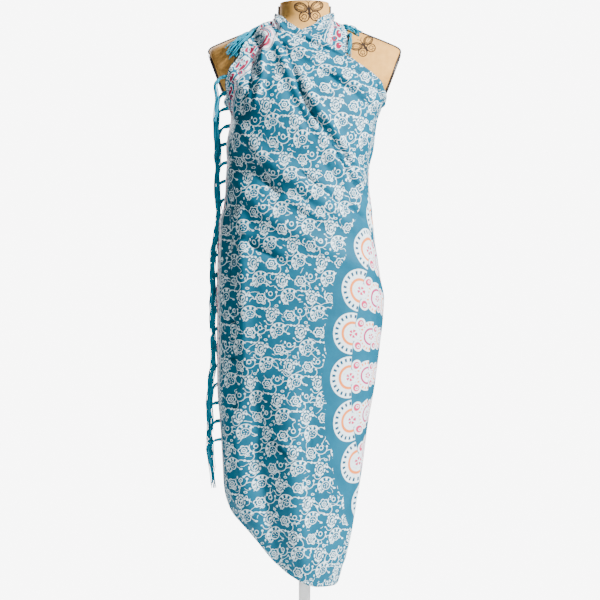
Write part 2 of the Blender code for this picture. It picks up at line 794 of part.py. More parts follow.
def make_fringe(name, edge, normals, outs, strands, material="batik"):
    """Makes a narrow strip beside the cloth's edge, with strands drawn out of it.

    edge holds the points along the cloth's end, normals the cloth's outward directions and outs the directions
    away from the cloth. Each strand is the number of its stretch of the strip and its path after the root.
    """
    work = bmesh.new()
    half = STRIP_THICKNESS / 2
    loops = []
    for point, normal, out in zip(edge, normals, outs):
        near = point + out * STRIP_GAP
        far = near + out * STRIP_WIDTH
        corners = (near - normal * half, far - normal * half, far + normal * half, near + normal * half)
        loops.append([work.verts.new(corner) for corner in corners])
    roots = {number: path for number, path in strands}
    for number, (first, second) in enumerate(zip(loops, loops[1:])):
        for i in range(4):
            j = (i + 1) % 4
            if i == 1 and number in roots:
                continue
            work.faces.new((first[i], first[j], second[j], second[i]))
        if number not in roots:
            continue
        ring = [first[1], first[2], second[2], second[1]]
        across = (first[1].co - second[1].co).normalized()
        lift = (first[2].co - first[1].co).normalized()
        travel = Vector(outs[number])
        previous = (first[1].co + second[2].co) / 2
        for step, place in enumerate(roots[number]):
            place = Vector(place)
            heading = (place - previous).normalized()
            bend = travel.rotation_difference(heading)
            across.rotate(bend)
            lift.rotate(bend)
            travel = heading
            width = STRAND_WIDTH / 2 * (0.75 if step == len(roots[number]) - 1 else 1.0)
            corners = (place + across * width - lift * width, place + across * width + lift * width,
                       place - across * width + lift * width, place - across * width - lift * width)
            following = [work.verts.new(corner) for corner in corners]
            for i in range(4):
                j = (i + 1) % 4
                work.faces.new((ring[i], ring[j], following[j], following[i]))
            ring = following
            previous = place
        work.faces.new(ring)
    work.faces.new(loops[0])
    work.faces.new(loops[-1])
    return solid_from_bmesh(name, work, material)


def points_along(line, spacings):
    """Gives the points of a line at distances from its start, with the place of each as row numbers."""
    lengths = np.concatenate(([0.0], np.cumsum(np.linalg.norm(np.diff(line, axis=0), axis=1))))
    rows = np.interp(spacings, lengths, np.arange(len(line)))
    points = np.stack([np.interp(rows, np.arange(len(line)), line[:, axis]) for axis in range(3)], axis=1)
    return points, rows


def bundle_spacings(line, start, end, spacing, strands):
    """Gives the distances along a strip at which its stretches begin, and the stretches that carry strands."""
    steps = np.linalg.norm(np.diff(line, axis=0), axis=1)
    corners = [float(corner) for corner in np.cumsum(steps) if start + 0.002 < corner < end - 0.002]
    stations = [start, end]
    roots = {}
    place = start + spacing / 2
    bundle = 0
    while place + strands * STRAND_PITCH < end:
        for strand in range(strands):
            stations += [place, place + STRAND_WIDTH]
            roots[place] = (bundle, strand)
            corners = [corner for corner in corners if not place - 0.001 < corner < place + STRAND_WIDTH + 0.001]
            place += STRAND_PITCH
        place += spacing - strands * STRAND_PITCH
        bundle += 1
    stations = sorted(stations + corners)
    carriers = [(number, *roots[station]) for number, station in enumerate(stations) if station in roots]
    return stations, carriers


def edge_fringe(name, inner, column, inward_column, start, end, path_of, spacing=BUNDLE_SPACING,
                strands=BUNDLE_STRANDS):
    """Hangs fringe along one end of a grid, with each strand's path from path_of."""
    outer = outer_grid(inner)
    line = (inner[:, column] + outer[:, column]) / 2
    beside = (inner[:, inward_column] + outer[:, inward_column]) / 2
    distances, carriers = bundle_spacings(line, start, end, spacing, strands)
    edge, rows = points_along(line, distances)
    thick = outer[:, column] - inner[:, column]
    numbers = np.arange(len(line))
    normals = np.stack([np.interp(rows, numbers, thick[:, axis]) for axis in range(3)], axis=1)
    normals /= np.linalg.norm(normals, axis=1)[:, None]
    outs = np.stack([np.interp(rows, numbers, (line - beside)[:, axis]) for axis in range(3)], axis=1)
    tangents = np.gradient(edge, axis=0)
    tangents /= np.linalg.norm(tangents, axis=1)[:, None]
    outs -= normals * np.sum(outs * normals, axis=1)[:, None]
    outs -= tangents * np.sum(outs * tangents, axis=1)[:, None]
    outs /= np.linalg.norm(outs, axis=1)[:, None]
    paths = []
    for number, bundle, strand in carriers:
        root = (edge[number] + edge[number + 1]) / 2 + outs[number] * (STRIP_WIDTH + STRIP_GAP)
        paths.append((number, path_of(root, outs[number], normals[number], bundle, strand)))
    return make_fringe(name, edge, normals, outs, paths)


def side_path(root, out, normal, bundle, strand):
    """Leads a strand of the side fringe out from the cloth and down, in a slot of depth of its own."""
    before_arm = bundle < len(SLOTS_BEFORE_ARM)
    if strand == 0:
        base = SLOTS_BEFORE_ARM[bundle] if before_arm else math.ceil(root[1] / STRAND_PITCH)
        while any(base + step in taken for taken in USED_SLOTS[-2:] for step in range(BUNDLE_STRANDS)):
            base += 1
        USED_SLOTS.append([base + step for step in range(BUNDLE_STRANDS)])
    deep = (USED_SLOTS[-1][strand if before_arm else BUNDLE_STRANDS - 1 - strand] + 0.5) * STRAND_PITCH
    length = STRAND_LENGTH * (0.84 + 0.08 * ((bundle * 2 + strand) % 3))
    reach = rail_reach(root[2])
    first = np.array((root[0] * 0.85 + reach * 0.15, deep, root[2] - 0.003))
    second = np.array((reach, deep, root[2] - 0.014))
    last = np.array((rail_reach(root[2] - length), deep, root[2] - length))
    if before_arm:
        return [root + out * 0.008 + normal * 0.003, second, last]
    return [first, second, last]


def surface_path(root, degrees, fall, turn, lift, strand):
    """Leads a strand over the dress form's shoulder, just clear of it."""
    path = []
    for share in (0.2, 0.45, 0.7, 1.0):
        height = root[2] - fall * share
        place = degrees + turn * share
        point = figure_point(height, place) + outwards(figure_point, height, place) * lift
        point[1] -= STRAND_PITCH * (strand - 1) * (0.8 + 0.5 * share)
        path.append(point)
    return path


def hang_tail_fringe(name, tail):
    """Hangs fringe along the lower end of a free corner."""
    turned = np.transpose(tail[::-1], (1, 0, 2))
    width = float(np.sum(np.linalg.norm(np.diff(turned[:, 0], axis=0), axis=1)))
    edge_fringe(name, turned, 0, 1, 0.001, width - 0.001, tail_path, 0.013, 2)


def angle_of(point):
    """Finds the angle of a place on the figure, from the middle front."""
    side = half_width(point[2])
    depth = figure_back(point[2]) if point[1] > 0 else -figure_front(point[2])
    return math.degrees(math.atan2(point[0] / side, -point[1] / depth))


def shoulder_path(root, out, normal, bundle, strand):
    """Leads a strand of the first bundles down over the left shoulder."""
    return surface_path(root, angle_of(root), 0.045, -14.0, 0.0060, strand)


def neck_path(root, out, normal, bundle, strand):
    """Leads a strand beside the neck down over the right shoulder."""
    return surface_path(root, angle_of(root), 0.022, 6.0, 0.0055, strand)


def tail_path(root, out, normal, bundle, strand):
    """Lets a strand hang from a free corner down the back."""
    path = []
    for share in (0.3, 1.0):
        reach = 0.006 + 0.034 * share
        path.append(root + out * reach * 0.25 + normal * 0.0012 - np.array((0.0, 0.0, reach * 0.9)))
    return path


def make_cloth(body):
    """Builds every stretch of the cloth, each kept clear of what lies below it."""
    below = tree_of([body])
    back = ease_off(back_grid(), below, CLOTH_CLEARANCE)
    front = ease_off(front_grid(), below, CLOTH_CLEARANCE)
    front[UNDERARM_ROW:, -1] = back[:, 0]
    under = ease_off(panel_grid(UNDER_ROWS, UNDER_COLUMNS, 0.0011), below, CLOTH_CLEARANCE)
    lapped = outer_grid(back)[:, -7:]
    tree = tree_of([], [lapped, outer_grid(under)])
    free_columns = front.shape[1] - 5
    front[:UNDERARM_ROW - 2] = ease_off(front[:UNDERARM_ROW - 2], tree, CLOTH_CLEARANCE)
    front = ease_off(front, tree, CLOTH_CLEARANCE, free_columns)
    front_outer = outer_grid(front)
    back_outer = outer_grid(back)
    seam = (front_outer[UNDERARM_ROW:, -1] + back_outer[:, 0]) / 2
    front_outer[UNDERARM_ROW:, -1] = seam
    back_outer[:, 0] = seam
    for layer in (back, back_outer):
        step = layer[:, 1] - layer[:, 0]
        layer[:, 0] += step * (SEAM_GAP / np.linalg.norm(step, axis=1))[:, None]
    wall("back_wrap", back, back_outer, "batik")
    wall("front_wrap", front, front_outer, "batik")
    wall("under_wrap", under, outer_grid(under), "batik")
    return front, under


def build():
    """Builds the whole part."""
    for item in list(bpy.data.objects):
        bpy.data.objects.remove(item, do_unlink=True)
    body = make_form_body()
    make_neck_cap()
    make_arm_plate("arm_plate_left", -1)
    make_arm_plate("arm_plate_right", 1)
    make_arm_band("arm_band_left", -1)
    make_arm_band("arm_band_right", 1)
    make_stand()
    front, under = make_cloth(body)
    make_tie("tie_left", -97.0, -156.0, 1.4900, 1.4905, 0.0023)
    make_tie("tie_right", 97.0, 156.0, 1.4915, 1.4905, 0.0019)
    make_knot()
    below = tree_of([body])
    tail_left = ease_off(panel_grid(TAIL_LEFT_ROWS, TAIL_COLUMNS, 0.0011), below, CLOTH_CLEARANCE)
    tail_right = ease_off(panel_grid(TAIL_RIGHT_ROWS, TAIL_COLUMNS, 0.0011), below, CLOTH_CLEARANCE)
    wall("tail_left", tail_left, outer_grid(tail_left), "batik")
    wall("tail_right", tail_right, outer_grid(tail_right), "batik")
    hang_tail_fringe("fringe_tail_left", tail_left)
    hang_tail_fringe("fringe_tail_right", tail_right)
    edge_fringe("fringe_shoulder", front, 0, 1, 0.030, 0.100, shoulder_path, 0.032)
    edge_fringe("fringe_side", front, 0, 1, 0.1015, 1.020, side_path)
    edge_fringe("fringe_neck", under, -1, -2, 0.012, 0.080, neck_path, 0.022)


build()
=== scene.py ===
# A batik sarong, wound about a linen dress form and tied behind its neck.
# Metres, +Z up. The viewer looks along +Y, and +X is at the viewer's right.

import math
import random

import bmesh
import bpy
import numpy as np
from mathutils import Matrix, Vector
from mathutils.bvhtree import BVHTree


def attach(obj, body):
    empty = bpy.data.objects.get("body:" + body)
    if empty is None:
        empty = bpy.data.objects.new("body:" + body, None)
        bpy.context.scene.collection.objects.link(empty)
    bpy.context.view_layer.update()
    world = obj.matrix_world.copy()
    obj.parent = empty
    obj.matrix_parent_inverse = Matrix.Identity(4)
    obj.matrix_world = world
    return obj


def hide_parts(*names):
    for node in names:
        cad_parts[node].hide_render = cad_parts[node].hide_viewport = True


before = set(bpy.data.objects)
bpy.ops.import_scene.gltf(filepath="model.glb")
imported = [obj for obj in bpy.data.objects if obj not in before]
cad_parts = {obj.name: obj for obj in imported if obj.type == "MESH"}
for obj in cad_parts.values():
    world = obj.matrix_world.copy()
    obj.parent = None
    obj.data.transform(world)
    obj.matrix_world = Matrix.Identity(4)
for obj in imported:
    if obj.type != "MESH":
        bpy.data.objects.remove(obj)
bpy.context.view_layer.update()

# Sizes of the cloth, as in the part's source
CLOTH_THICKNESS = 0.0012
BASE_STAND_OFF = 0.0010
CLOTH_CLEARANCE = 0.0006
ROLL_WIDTH = 0.017
ROLL_HEIGHT = 0.0055
GATHER_HEIGHT = 0.0012
GATHER_WAVES = 2.5
PLEAT_HEIGHT = 0.0042
PLEATS = 5.0
LAP_RISE = 0.006
SLACK_FRONT = 0.0105
CREASE_STRENGTH = 2.5
FOLD_STRENGTH = 1.55
SLACK_BACK = 0.0055
SLACK_FRONT_LIMIT = 78.0
SLACK_BACK_LIMIT = 104.0
SLACK_FADE = 22.0
TOP_HELD = 0.004
TOP_FADE = 0.030
HEM_FADE = 0.06
HEM_SLACK = 0.2
PUSH_SPREAD = 0.8
SHEET_LIFT = 0.0011
UNDER_GRID = (60, 44)
UNDER_WAVES = 3.0
UNDER_DRIFT = 0.25
UNDER_FADE_ROWS = 6.0
TAIL_GRID = (30, 18)
TAIL_WAVES = 2.0
TAIL_DRIFT = 0.1
TAIL_FADE_ROWS = 2.0
SHEET_ROUNDS = 400
UNDER_RIPPLE = 0.0012
TAIL_RIPPLE = 0.0016
FORM_TOP = 1.5155
FORM_BOTTOM = 0.735
PLATE_HEIGHT = 1.366
PLATE_REACH = 0.1867
PLATE_LEAN = 0.377
ARM_BOTTOM = 1.314
ARM_HALF_HEIGHT = 0.0455
ARM_HALF_DEPTH = 0.0495

# Sizes of the tie, the knot and the fringe
TIE_HALF_HEIGHT = 0.0085
TIE_HALF_THICKNESS = 0.0052
KNOT_HALF_SIZE = (0.0235, 0.0150, 0.0200)
KNOT_HEIGHT = 1.481
KNOT_GAP = 0.0034
BUNDLE_SPACING = 0.040
FRINGE_TOP = 1.354
FRINGE_END = 1.020
SIDE_FRINGE_LENGTH = 0.090
SIDE_FRINGE_SPREAD = 0.010
SIDE_FRINGE_FALL = 0.016
SIDE_FRINGE_SWING = 0.0022
SIDE_FRINGE_DEPTH = 0.004
SHOULDER_FRINGE_LIFT = 0.0058
NECK_FRINGE_LIFT = 0.0052
PIPING_LIFT = 0.0014
ARM_PIPING_LIFT = 0.0016
ARM_PIPING_WIDTH = 1.2
CORNER_FRINGE_LENGTH = 0.040
YARN_RADIUS = 0.00105
PIPING_RADIUS = 0.0027

# How far the border is drawn in across the end, by the distance along it
BORDER_DRAW = ((0.0, 0.12, 0.20, 0.28, 0.45, 0.65, 0.95), (1.75, 1.60, 1.25, 0.98, 0.78, 0.62, 0.8))

# How finely the cloth is made
ROW_SPACING = 0.0056
FRONT_STEPS = 100
BACK_STEPS = 84
TURNED_STEPS = 18
TURNED_SHARE = 0.93
MERGE_DISTANCE = 1e-6
SKIN_MIDDLE = 1.30
SKIN_UPPER_ROWS = 74
SKIN_LOWER_ROWS = 84
SKIN_COLUMNS = 120
SKIN_SHARP = 50
TIE_STEPS = 70
TIE_COLUMNS = 54
TIE_TWIST = 2.4
TIE_WIDEST = 1.12
TIE_MAP_WIDTH = 0.020
KNOT_ROWS = 64
KNOT_COLUMNS = 88
KNOT_END = 0.02
TASSEL_STEPS = 24
TASSEL_ASIDE = (0.13, 0.97, 0.21)
TASSEL_TIED_LENGTH = 0.045
TASSEL_TIED_NIP = 0.62
TASSEL_CORE = 0.30
TASSEL_KNOT_HALF = 0.0042
TASSEL_KNOT_STEPS = 7
TASSEL_KNOT_WIDTH = 1.02

# The figure: height, half width, front, back, squareness
FIGURE = (
    (1.540, 0.0530, -0.052, 0.054, 2.00),
    (1.490, 0.0535, -0.052, 0.056, 2.00),
    (1.478, 0.0610, -0.054, 0.060, 2.00),
    (1.470, 0.0800, -0.056, 0.064, 2.00),
    (1.458, 0.1120, -0.060, 0.070, 2.05),
    (1.445, 0.1450, -0.064, 0.076, 2.10),
    (1.432, 0.1770, -0.069, 0.082, 2.20),
    (1.419, 0.2030, -0.074, 0.087, 2.30),
    (1.400, 0.2140, -0.082, 0.093, 2.40),
    (1.375, 0.2160, -0.092, 0.099, 2.40),
    (1.350, 0.2020, -0.103, 0.103, 2.35),
    (1.326, 0.1755, -0.114, 0.104, 2.30),
    (1.300, 0.1640, -0.124, 0.103, 2.30),
    (1.270, 0.1515, -0.130, 0.100, 2.25),
    (1.234, 0.1460, -0.131, 0.096, 2.20),
    (1.205, 0.1420, -0.126, 0.091, 2.20),
    (1.170, 0.1345, -0.114, 0.086, 2.20),
    (1.130, 0.1335, -0.105, 0.083, 2.20),
    (1.080, 0.1390, -0.104, 0.088, 2.20),
    (1.030, 0.1435, -0.109, 0.099, 2.20),
    (0.976, 0.1530, -0.115, 0.112, 2.20),
    (0.924, 0.1610, -0.119, 0.120, 2.20),
    (0.885, 0.1680, -0.119, 0.122, 2.20),
    (0.847, 0.1660, -0.117, 0.120, 2.20),
    (0.770, 0.1570, -0.112, 0.112, 2.20),
    (0.700, 0.1480, -0.108, 0.104, 2.20),
    (0.620, 0.1340, -0.103, 0.096, 2.20),
    (0.512, 0.1200, -0.094, 0.083, 2.15),
    (0.408, 0.1010, -0.086, 0.070, 2.10),
    (0.331, 0.0840, -0.080, 0.062, 2.05),
    (0.250, 0.0620, -0.074, 0.055, 2.00),
)

# How far the cloth hangs outside the figure:
# height, over the left side, right, under the left side, front, back
EASE = (
    (1.500, 0.000, 0.000, 0.000, 0.000, 0.000),
    (1.340, 0.000, 0.000, 0.000, 0.000, 0.000),
    (1.286, 0.003, 0.000, 0.000, 0.001, 0.001),
    (1.208, 0.024, 0.000, 0.004, 0.004, 0.006),
    (1.131, 0.034, 0.001, 0.012, 0.014, 0.012),
    (1.079, 0.033, 0.001, 0.014, 0.015, 0.010),
    (1.053, 0.040, 0.001, 0.014, 0.012, 0.006),
    (0.976, 0.032, 0.001, 0.010, 0.006, 0.001),
    (0.924, 0.025, 0.001, 0.005, 0.003, 0.000),
    (0.870, 0.019, 0.001, 0.002, 0.002, 0.001),
    (0.770, 0.029, 0.001, 0.010, 0.005, 0.008),
    (0.641, 0.044, 0.001, 0.028, 0.007, 0.012),
    (0.537, 0.051, 0.001, 0.038, 0.008, 0.014),
    (0.460, 0.057, 0.001, 0.044, 0.008, 0.014),
    (0.357, 0.057, 0.001, 0.044, 0.006, 0.012),
    (0.250, 0.057, 0.001, 0.044, 0.004, 0.010),
)

# Rows of the front: steps to the next row, then degrees and height at the fringed end,
# then degrees and height at the top edge or side
FRONT_ROWS = (
    (1, -90.0, 1.4770, -87.0, 1.4960),
    (1, -74.0, 1.4690, -64.0, 1.4880),
    (1, -58.0, 1.4590, -42.0, 1.4790),
    (1, -43.0, 1.4450, -15.0, 1.4640),
    (1, -37.0, 1.4220, -3.5, 1.4540),
    (1, -36.5, 1.3990, 6.0, 1.4380),
    (2, -40.0, 1.3760, 14.0, 1.4240),
    (2, -49.0, 1.3500, 24.5, 1.3960),
    (2, -64.0, 1.3160, 38.5, 1.3640),
    (2, -75.0, 1.2800, 62.0, 1.3330),
    (2, -83.0, 1.2280, 90.0, 1.3130),
    (3, -88.0, 1.1500, 90.0, 1.2400),
    (3, -91.0, 1.0400, 90.0, 1.1200),
    (3, -94.0, 0.9000, 90.0, 0.9700),
    (4, -98.0, 0.7600, 90.0, 0.8000),
)
SKIRT_ROWS = 9
UNDERARM_KEY = 10

# Hem all round, in degrees from the middle front towards the viewer's right, with its height
HEM = (
    (-104.0, 0.530), (-90.0, 0.490), (-80.0, 0.459), (-70.0, 0.434), (-55.0, 0.408), (-44.0, 0.383),
    (-36.0, 0.357), (-28.0, 0.331), (-16.0, 0.305), (6.0, 0.279), (25.0, 0.275), (50.0, 0.275),
    (90.0, 0.281), (135.0, 0.290), (180.0, 0.305), (205.0, 0.350), (225.0, 0.400), (245.0, 0.452),
    (270.0, 0.503), (300.0, 0.545),
)
BACK_TOP = ((90.0, 1.3130), (120.0, 1.3190), (180.0, 1.3150), (240.0, 1.3190), (262.0, 1.3130),
            (300.0, 1.3180))
BACK_END = 297.0
LAPPED_FROM = 246.0

# The second end on the chest: degrees and height at its top edge and at its fringed end
UNDER_ROWS = (
    (1, 87.0, 1.4985, 90.0, 1.4840),
    (1, 57.0, 1.4900, 83.0, 1.4730),
    (1, 32.0, 1.4800, 60.0, 1.4635),
    (1, 13.0, 1.4670, 44.0, 1.4520),
    (1, -3.5, 1.4540, 31.0, 1.4320),
    (1, -14.0, 1.4300, 24.5, 1.4080),
    (1, -21.0, 1.4050, 21.0, 1.3880),
    (0, -26.0, 1.3750, 20.0, 1.3660),
)

# Free corners behind the neck: degrees and height at the two sides
TAIL_ROWS = {
    "left": ((1, 181.5, 1.4650, 189.0, 1.4650), (2, 184.0, 1.4250, 195.0, 1.4230),
             (2, 188.0, 1.3900, 203.0, 1.3880), (0, 191.0, 1.3620, 206.0, 1.3500)),
    "right": ((1, 171.0, 1.4650, 178.5, 1.4650), (2, 163.0, 1.4250, 176.5, 1.4200),
              (2, 158.0, 1.3930, 174.0, 1.3800), (0, 156.0, 1.3720, 171.0, 1.3520)),
}

# Main folds of the cloth: height outwards, half width and path in degrees and height
FOLDS = (
    (-0.0130, 0.0100, ((-62.0, 1.085), (-56.0, 1.02), (-53.0, 0.93), (-51.5, 0.83), (-51.0, 0.74),
                       (-50.0, 0.66))),
    (0.0050, 0.0120, ((-47.0, 1.10), (-41.0, 1.02), (-40.0, 0.93), (-39.0, 0.80), (-38.0, 0.70))),
    (0.0038, 0.0080, ((-74.0, 1.470), (-50.0, 1.430), (-42.0, 1.370), (-40.0, 1.300))),
    (-0.0030, 0.0070, ((-66.0, 1.474), (-34.0, 1.430), (-27.0, 1.370), (-25.0, 1.300))),
    (0.0042, 0.0080, ((-60.0, 1.478), (-22.0, 1.440), (-13.0, 1.395), (-9.0, 1.350))),
    (0.0065, 0.0120, ((-9.0, 1.376), (-5.0, 1.329), (1.0, 1.298), (13.5, 1.247), (33.0, 1.172), (56.0, 1.107),
                      (70.0, 1.03))),
    (-0.0050, 0.0110, ((-14.0, 1.350), (-8.0, 1.290), (4.0, 1.225), (20.0, 1.160), (38.0, 1.090))),
    (0.0065, 0.0160, ((-52.0, 1.245), (-30.0, 1.185), (-8.0, 1.135), (20.0, 1.075), (52.0, 1.010))),
    (0.0060, 0.0180, ((-58.0, 1.150), (-36.0, 1.090), (-12.0, 1.035), (18.0, 0.985), (48.0, 0.945))),
    (0.0030, 0.0090, ((-20.0, 1.182), (-1.0, 1.150), (12.0, 1.124), (23.0, 1.096))),
    (-0.0100, 0.0230, ((-33.0, 0.700), (-29.0, 0.60), (-26.0, 0.50), (-22.0, 0.40), (-18.0, 0.33))),
    (0.0060, 0.0200, ((-52.0, 0.640), (-47.0, 0.55), (-42.0, 0.47), (-38.0, 0.40))),
    (0.0050, 0.0180, ((-8.0, 0.760), (-6.0, 0.62), (-3.0, 0.48), (0.0, 0.34))),
    (0.0040, 0.0150, ((48.0, 0.700), (52.0, 0.56), (58.0, 0.42), (62.0, 0.33))),
    (0.0040, 0.0110, ((98.0, 1.300), (100.0, 1.21), (97.0, 1.12))),
    (0.0050, 0.0160, ((112.0, 1.255), (140.0, 1.215), (170.0, 1.165), (205.0, 1.120))),
    (0.0045, 0.0170, ((120.0, 1.130), (150.0, 1.095), (185.0, 1.055), (225.0, 1.030))),
    (0.0080, 0.0200, ((142.0, 0.860), (144.0, 0.70), (147.0, 0.50), (149.0, 0.32))),
    (-0.0070, 0.0190, ((168.0, 0.800), (170.0, 0.62), (172.0, 0.42), (173.0, 0.32))),
    (0.0090, 0.0200, ((190.0, 0.900), (194.0, 0.72), (199.0, 0.52), (203.0, 0.38))),
    (0.0060, 0.0180, ((226.0, 0.840), (230.0, 0.68), (234.0, 0.52))),
)

# Finer creases across the front: height outwards, half width and path as distance across and height
FRONT_CREASES = (
    (-0.0034, 0.0045, ((-0.055, 1.483), (-0.057, 1.452), (-0.043, 1.411), (-0.026, 1.365))),
    (-0.0030, 0.0050, ((-0.079, 1.457), (-0.089, 1.411), (-0.110, 1.354), (-0.124, 1.290))),
    (0.0028, 0.0050, ((-0.068, 1.469), (-0.075, 1.426), (-0.086, 1.354), (-0.098, 1.296))),
    (-0.0058, 0.0050, ((-0.026, 1.359), (-0.012, 1.319), (0.006, 1.285), (0.029, 1.250), (0.052, 1.213),
                       (0.075, 1.169), (0.095, 1.129), (0.121, 1.095))),
    (0.0040, 0.0060, ((-0.013, 1.365), (0.004, 1.325), (0.022, 1.290), (0.045, 1.256), (0.068, 1.218),
                      (0.092, 1.175), (0.112, 1.135))),
    (-0.0045, 0.0045, ((0.034, 1.256), (0.063, 1.213), (0.083, 1.181), (0.104, 1.143), (0.118, 1.115))),
    (-0.0060, 0.0090, ((-0.118, 1.207), (-0.101, 1.172), (-0.075, 1.132), (-0.052, 1.100))),
    (-0.0042, 0.0048, ((-0.012, 1.155), (0.014, 1.132), (0.034, 1.115), (0.057, 1.092))),
    (0.0030, 0.0090, ((-0.026, 1.282), (-0.006, 1.244), (0.023, 1.204), (0.052, 1.164))),
    (-0.0044, 0.0040, ((0.000, 1.431), (0.049, 1.408), (0.092, 1.385), (0.129, 1.362), (0.153, 1.331),
                       (0.160, 1.296))),
    (0.0028, 0.0065, ((-0.006, 1.400), (0.034, 1.365), (0.086, 1.342), (0.129, 1.319))),
    (-0.0034, 0.0060, ((0.023, 1.371), (0.063, 1.339), (0.109, 1.305), (0.138, 1.276))),
    (-0.0034, 0.0055, ((0.109, 1.187), (0.129, 1.143), (0.139, 1.095))),
    (-0.0042, 0.0050, ((0.050, 1.094), (0.077, 1.083), (0.099, 1.070), (0.115, 1.051))),
    (-0.0040, 0.0048, ((0.124, 1.075), (0.140, 1.042), (0.149, 1.014))),
    (0.0030, 0.0080, ((-0.055, 1.096), (-0.016, 1.085), (0.017, 1.064), (0.050, 1.044))),
    (-0.0040, 0.0100, ((-0.134, 1.017), (-0.101, 0.992), (-0.071, 0.976), (-0.044, 0.959))),
    (-0.0036, 0.0038, ((-0.075, 0.600), (-0.055, 0.578), (-0.035, 0.559))),
    (0.0028, 0.0050, ((-0.068, 0.608), (-0.046, 0.586), (-0.027, 0.567))),
    (-0.0018, 0.0032, ((0.014, 0.611), (0.008, 0.573), (0.002, 0.534))),
    (-0.0020, 0.0032, ((-0.002, 0.488), (-0.005, 0.452), (-0.008, 0.422))),
    (-0.0020, 0.0036, ((-0.012, 0.364), (-0.015, 0.331), (-0.019, 0.299))),
    (0.0040, 0.0240, ((-0.049, 0.688), (-0.031, 0.562), (-0.024, 0.441), (-0.011, 0.331))),
    (0.0030, 0.0100, ((-0.156, 0.619), (-0.153, 0.534), (-0.134, 0.455), (-0.099, 0.392))),
)

# Finer creases round the back and sides: height outwards, half width and path in degrees and height
BACK_CREASES = (
    (0.0024, 0.0070, ((100.0, 1.285), (125.0, 1.262), (160.0, 1.225), (196.0, 1.190))),
    (-0.0024, 0.0060, ((104.0, 1.262), (130.0, 1.238), (162.0, 1.200), (190.0, 1.160))),
    (-0.0022, 0.0060, ((128.0, 1.190), (152.0, 1.160), (184.0, 1.122), (214.0, 1.098))),
    (0.0024, 0.0080, ((108.0, 1.090), (136.0, 1.060), (168.0, 1.018), (200.0, 0.996))),
    (-0.0026, 0.0065, ((150.0, 1.040), (176.0, 1.015), (206.0, 0.985), (232.0, 0.975))),
    (0.0030, 0.0100, ((118.0, 0.800), (120.0, 0.66), (122.0, 0.50), (124.0, 0.32))),
    (-0.0034, 0.0100, ((131.0, 0.760), (132.0, 0.62), (134.0, 0.46), (136.0, 0.31))),
    (-0.0030, 0.0090, ((155.0, 0.740), (158.0, 0.58), (159.0, 0.44), (161.0, 0.31))),
    (0.0026, 0.0080, ((180.0, 0.700), (182.0, 0.56), (183.0, 0.44), (185.0, 0.33))),
    (-0.0034, 0.0100, ((208.0, 0.780), (212.0, 0.64), (216.0, 0.50), (219.0, 0.42))),
    (0.0028, 0.0090, ((243.0, 0.760), (245.0, 0.64), (247.0, 0.50))),
    (-0.0022, 0.0050, ((96.0, 1.180), (103.0, 1.10), (109.0, 1.02))),
    (0.0024, 0.0070, ((92.0, 1.120), (98.0, 1.04), (104.0, 0.95))),
    (-0.0026, 0.0080, ((84.0, 0.640), (86.0, 0.52), (88.0, 0.40), (90.0, 0.31))),
)

# How far left the side fringe hangs, by height
RAIL = ((1.320, -0.1850), (1.180, -0.1865), (1.080, -0.1850), (1.000, -0.1930), (0.900, -0.1980),
        (0.800, -0.1960), (0.700, -0.2010), (0.600, -0.2060), (0.500, -0.1960))


# Smooth tables


def curve_between(share, low, high, low_rise, high_rise):
    """Gives a smooth curve between two values that leaves and meets them with the given rises."""
    square, cube = share ** 2, share ** 3
    return ((2 * cube - 3 * square + 1) * low + (cube - 2 * square + share) * low_rise
            + (3 * square - 2 * cube) * high + (cube - square) * high_rise)


def walked(points):
    """Gives how far each point of a line is along it."""
    return np.concatenate(([0.0], np.cumsum(np.linalg.norm(np.diff(points, axis=0), axis=1))))


def numbered(grid, first=0):
    """Numbers the points of a grid."""
    return first + np.arange(grid.shape[0] * grid.shape[1]).reshape(grid.shape[:2])


def smooth_column(knots, values):
    """Returns a smooth function through the values that never swings past them."""
    order = np.argsort(knots)
    x = np.asarray(knots, dtype=float)[order]
    y = np.asarray(values, dtype=float)[order]
    steps = np.diff(x)
    slopes = np.diff(y) / steps
    tangents = np.zeros(len(x))
    tangents[0] = slopes[0]
    tangents[-1] = slopes[-1]
    for i in range(1, len(x) - 1):
        if slopes[i - 1] * slopes[i] > 0:
            before = 2 * steps[i] + steps[i - 1]
            after = steps[i] + 2 * steps[i - 1]
            tangents[i] = (before + after) / (before / slopes[i - 1] + after / slopes[i])

    def value(at):
        at = np.clip(at, x[0], x[-1])
        i = np.clip(np.searchsorted(x, at) - 1, 0, len(steps) - 1)
        s = (at - x[i]) / steps[i]
        return curve_between(s, y[i], y[i + 1], steps[i] * tangents[i], steps[i] * tangents[i + 1])

    return value


def smooth_table(rows):
    """Returns one smooth function of the first column for each other column."""
    columns = list(zip(*rows))
    return [smooth_column(columns[0], column) for column in columns[1:]]


def row_lines(rows):
    """Returns smooth functions of the row number for the places at the sides, and the last number."""
    keys = np.concatenate(([0], np.cumsum([row[0] for row in rows[:-1]])))
    return [smooth_column(keys, column) for column in list(zip(*rows))[1:]], int(keys[-1])


half_width, figure_front, figure_back, squareness = smooth_table(FIGURE)
ease_over, ease_right, ease_under, ease_front, ease_back = smooth_table(EASE)
hem_height, = smooth_table(HEM)
back_top, = smooth_table(BACK_TOP)
rail_reach, = smooth_table(RAIL)
FRONT_LINES, LAST_ROW = row_lines(FRONT_ROWS)
UNDERARM_ROW = sum(row[0] for row in FRONT_ROWS[:UNDERARM_KEY])


# Surfaces


def ring_point(height, degrees, left, right, front, back):
    """Gives points of rounded sections at angles from the middle front."""
    turn = np.radians(degrees)
    across = np.sin(turn)
    along = -np.cos(turn)
    power = squareness(height)
    reach = (np.abs(across) ** power + np.abs(along) ** power) ** (-1 / power)
    side = np.where(across > 0, right, left)
    depth = np.where(along > 0, back, -front)
    return np.stack((side * reach * across, depth * reach * along, height + 0 * side), axis=-1)


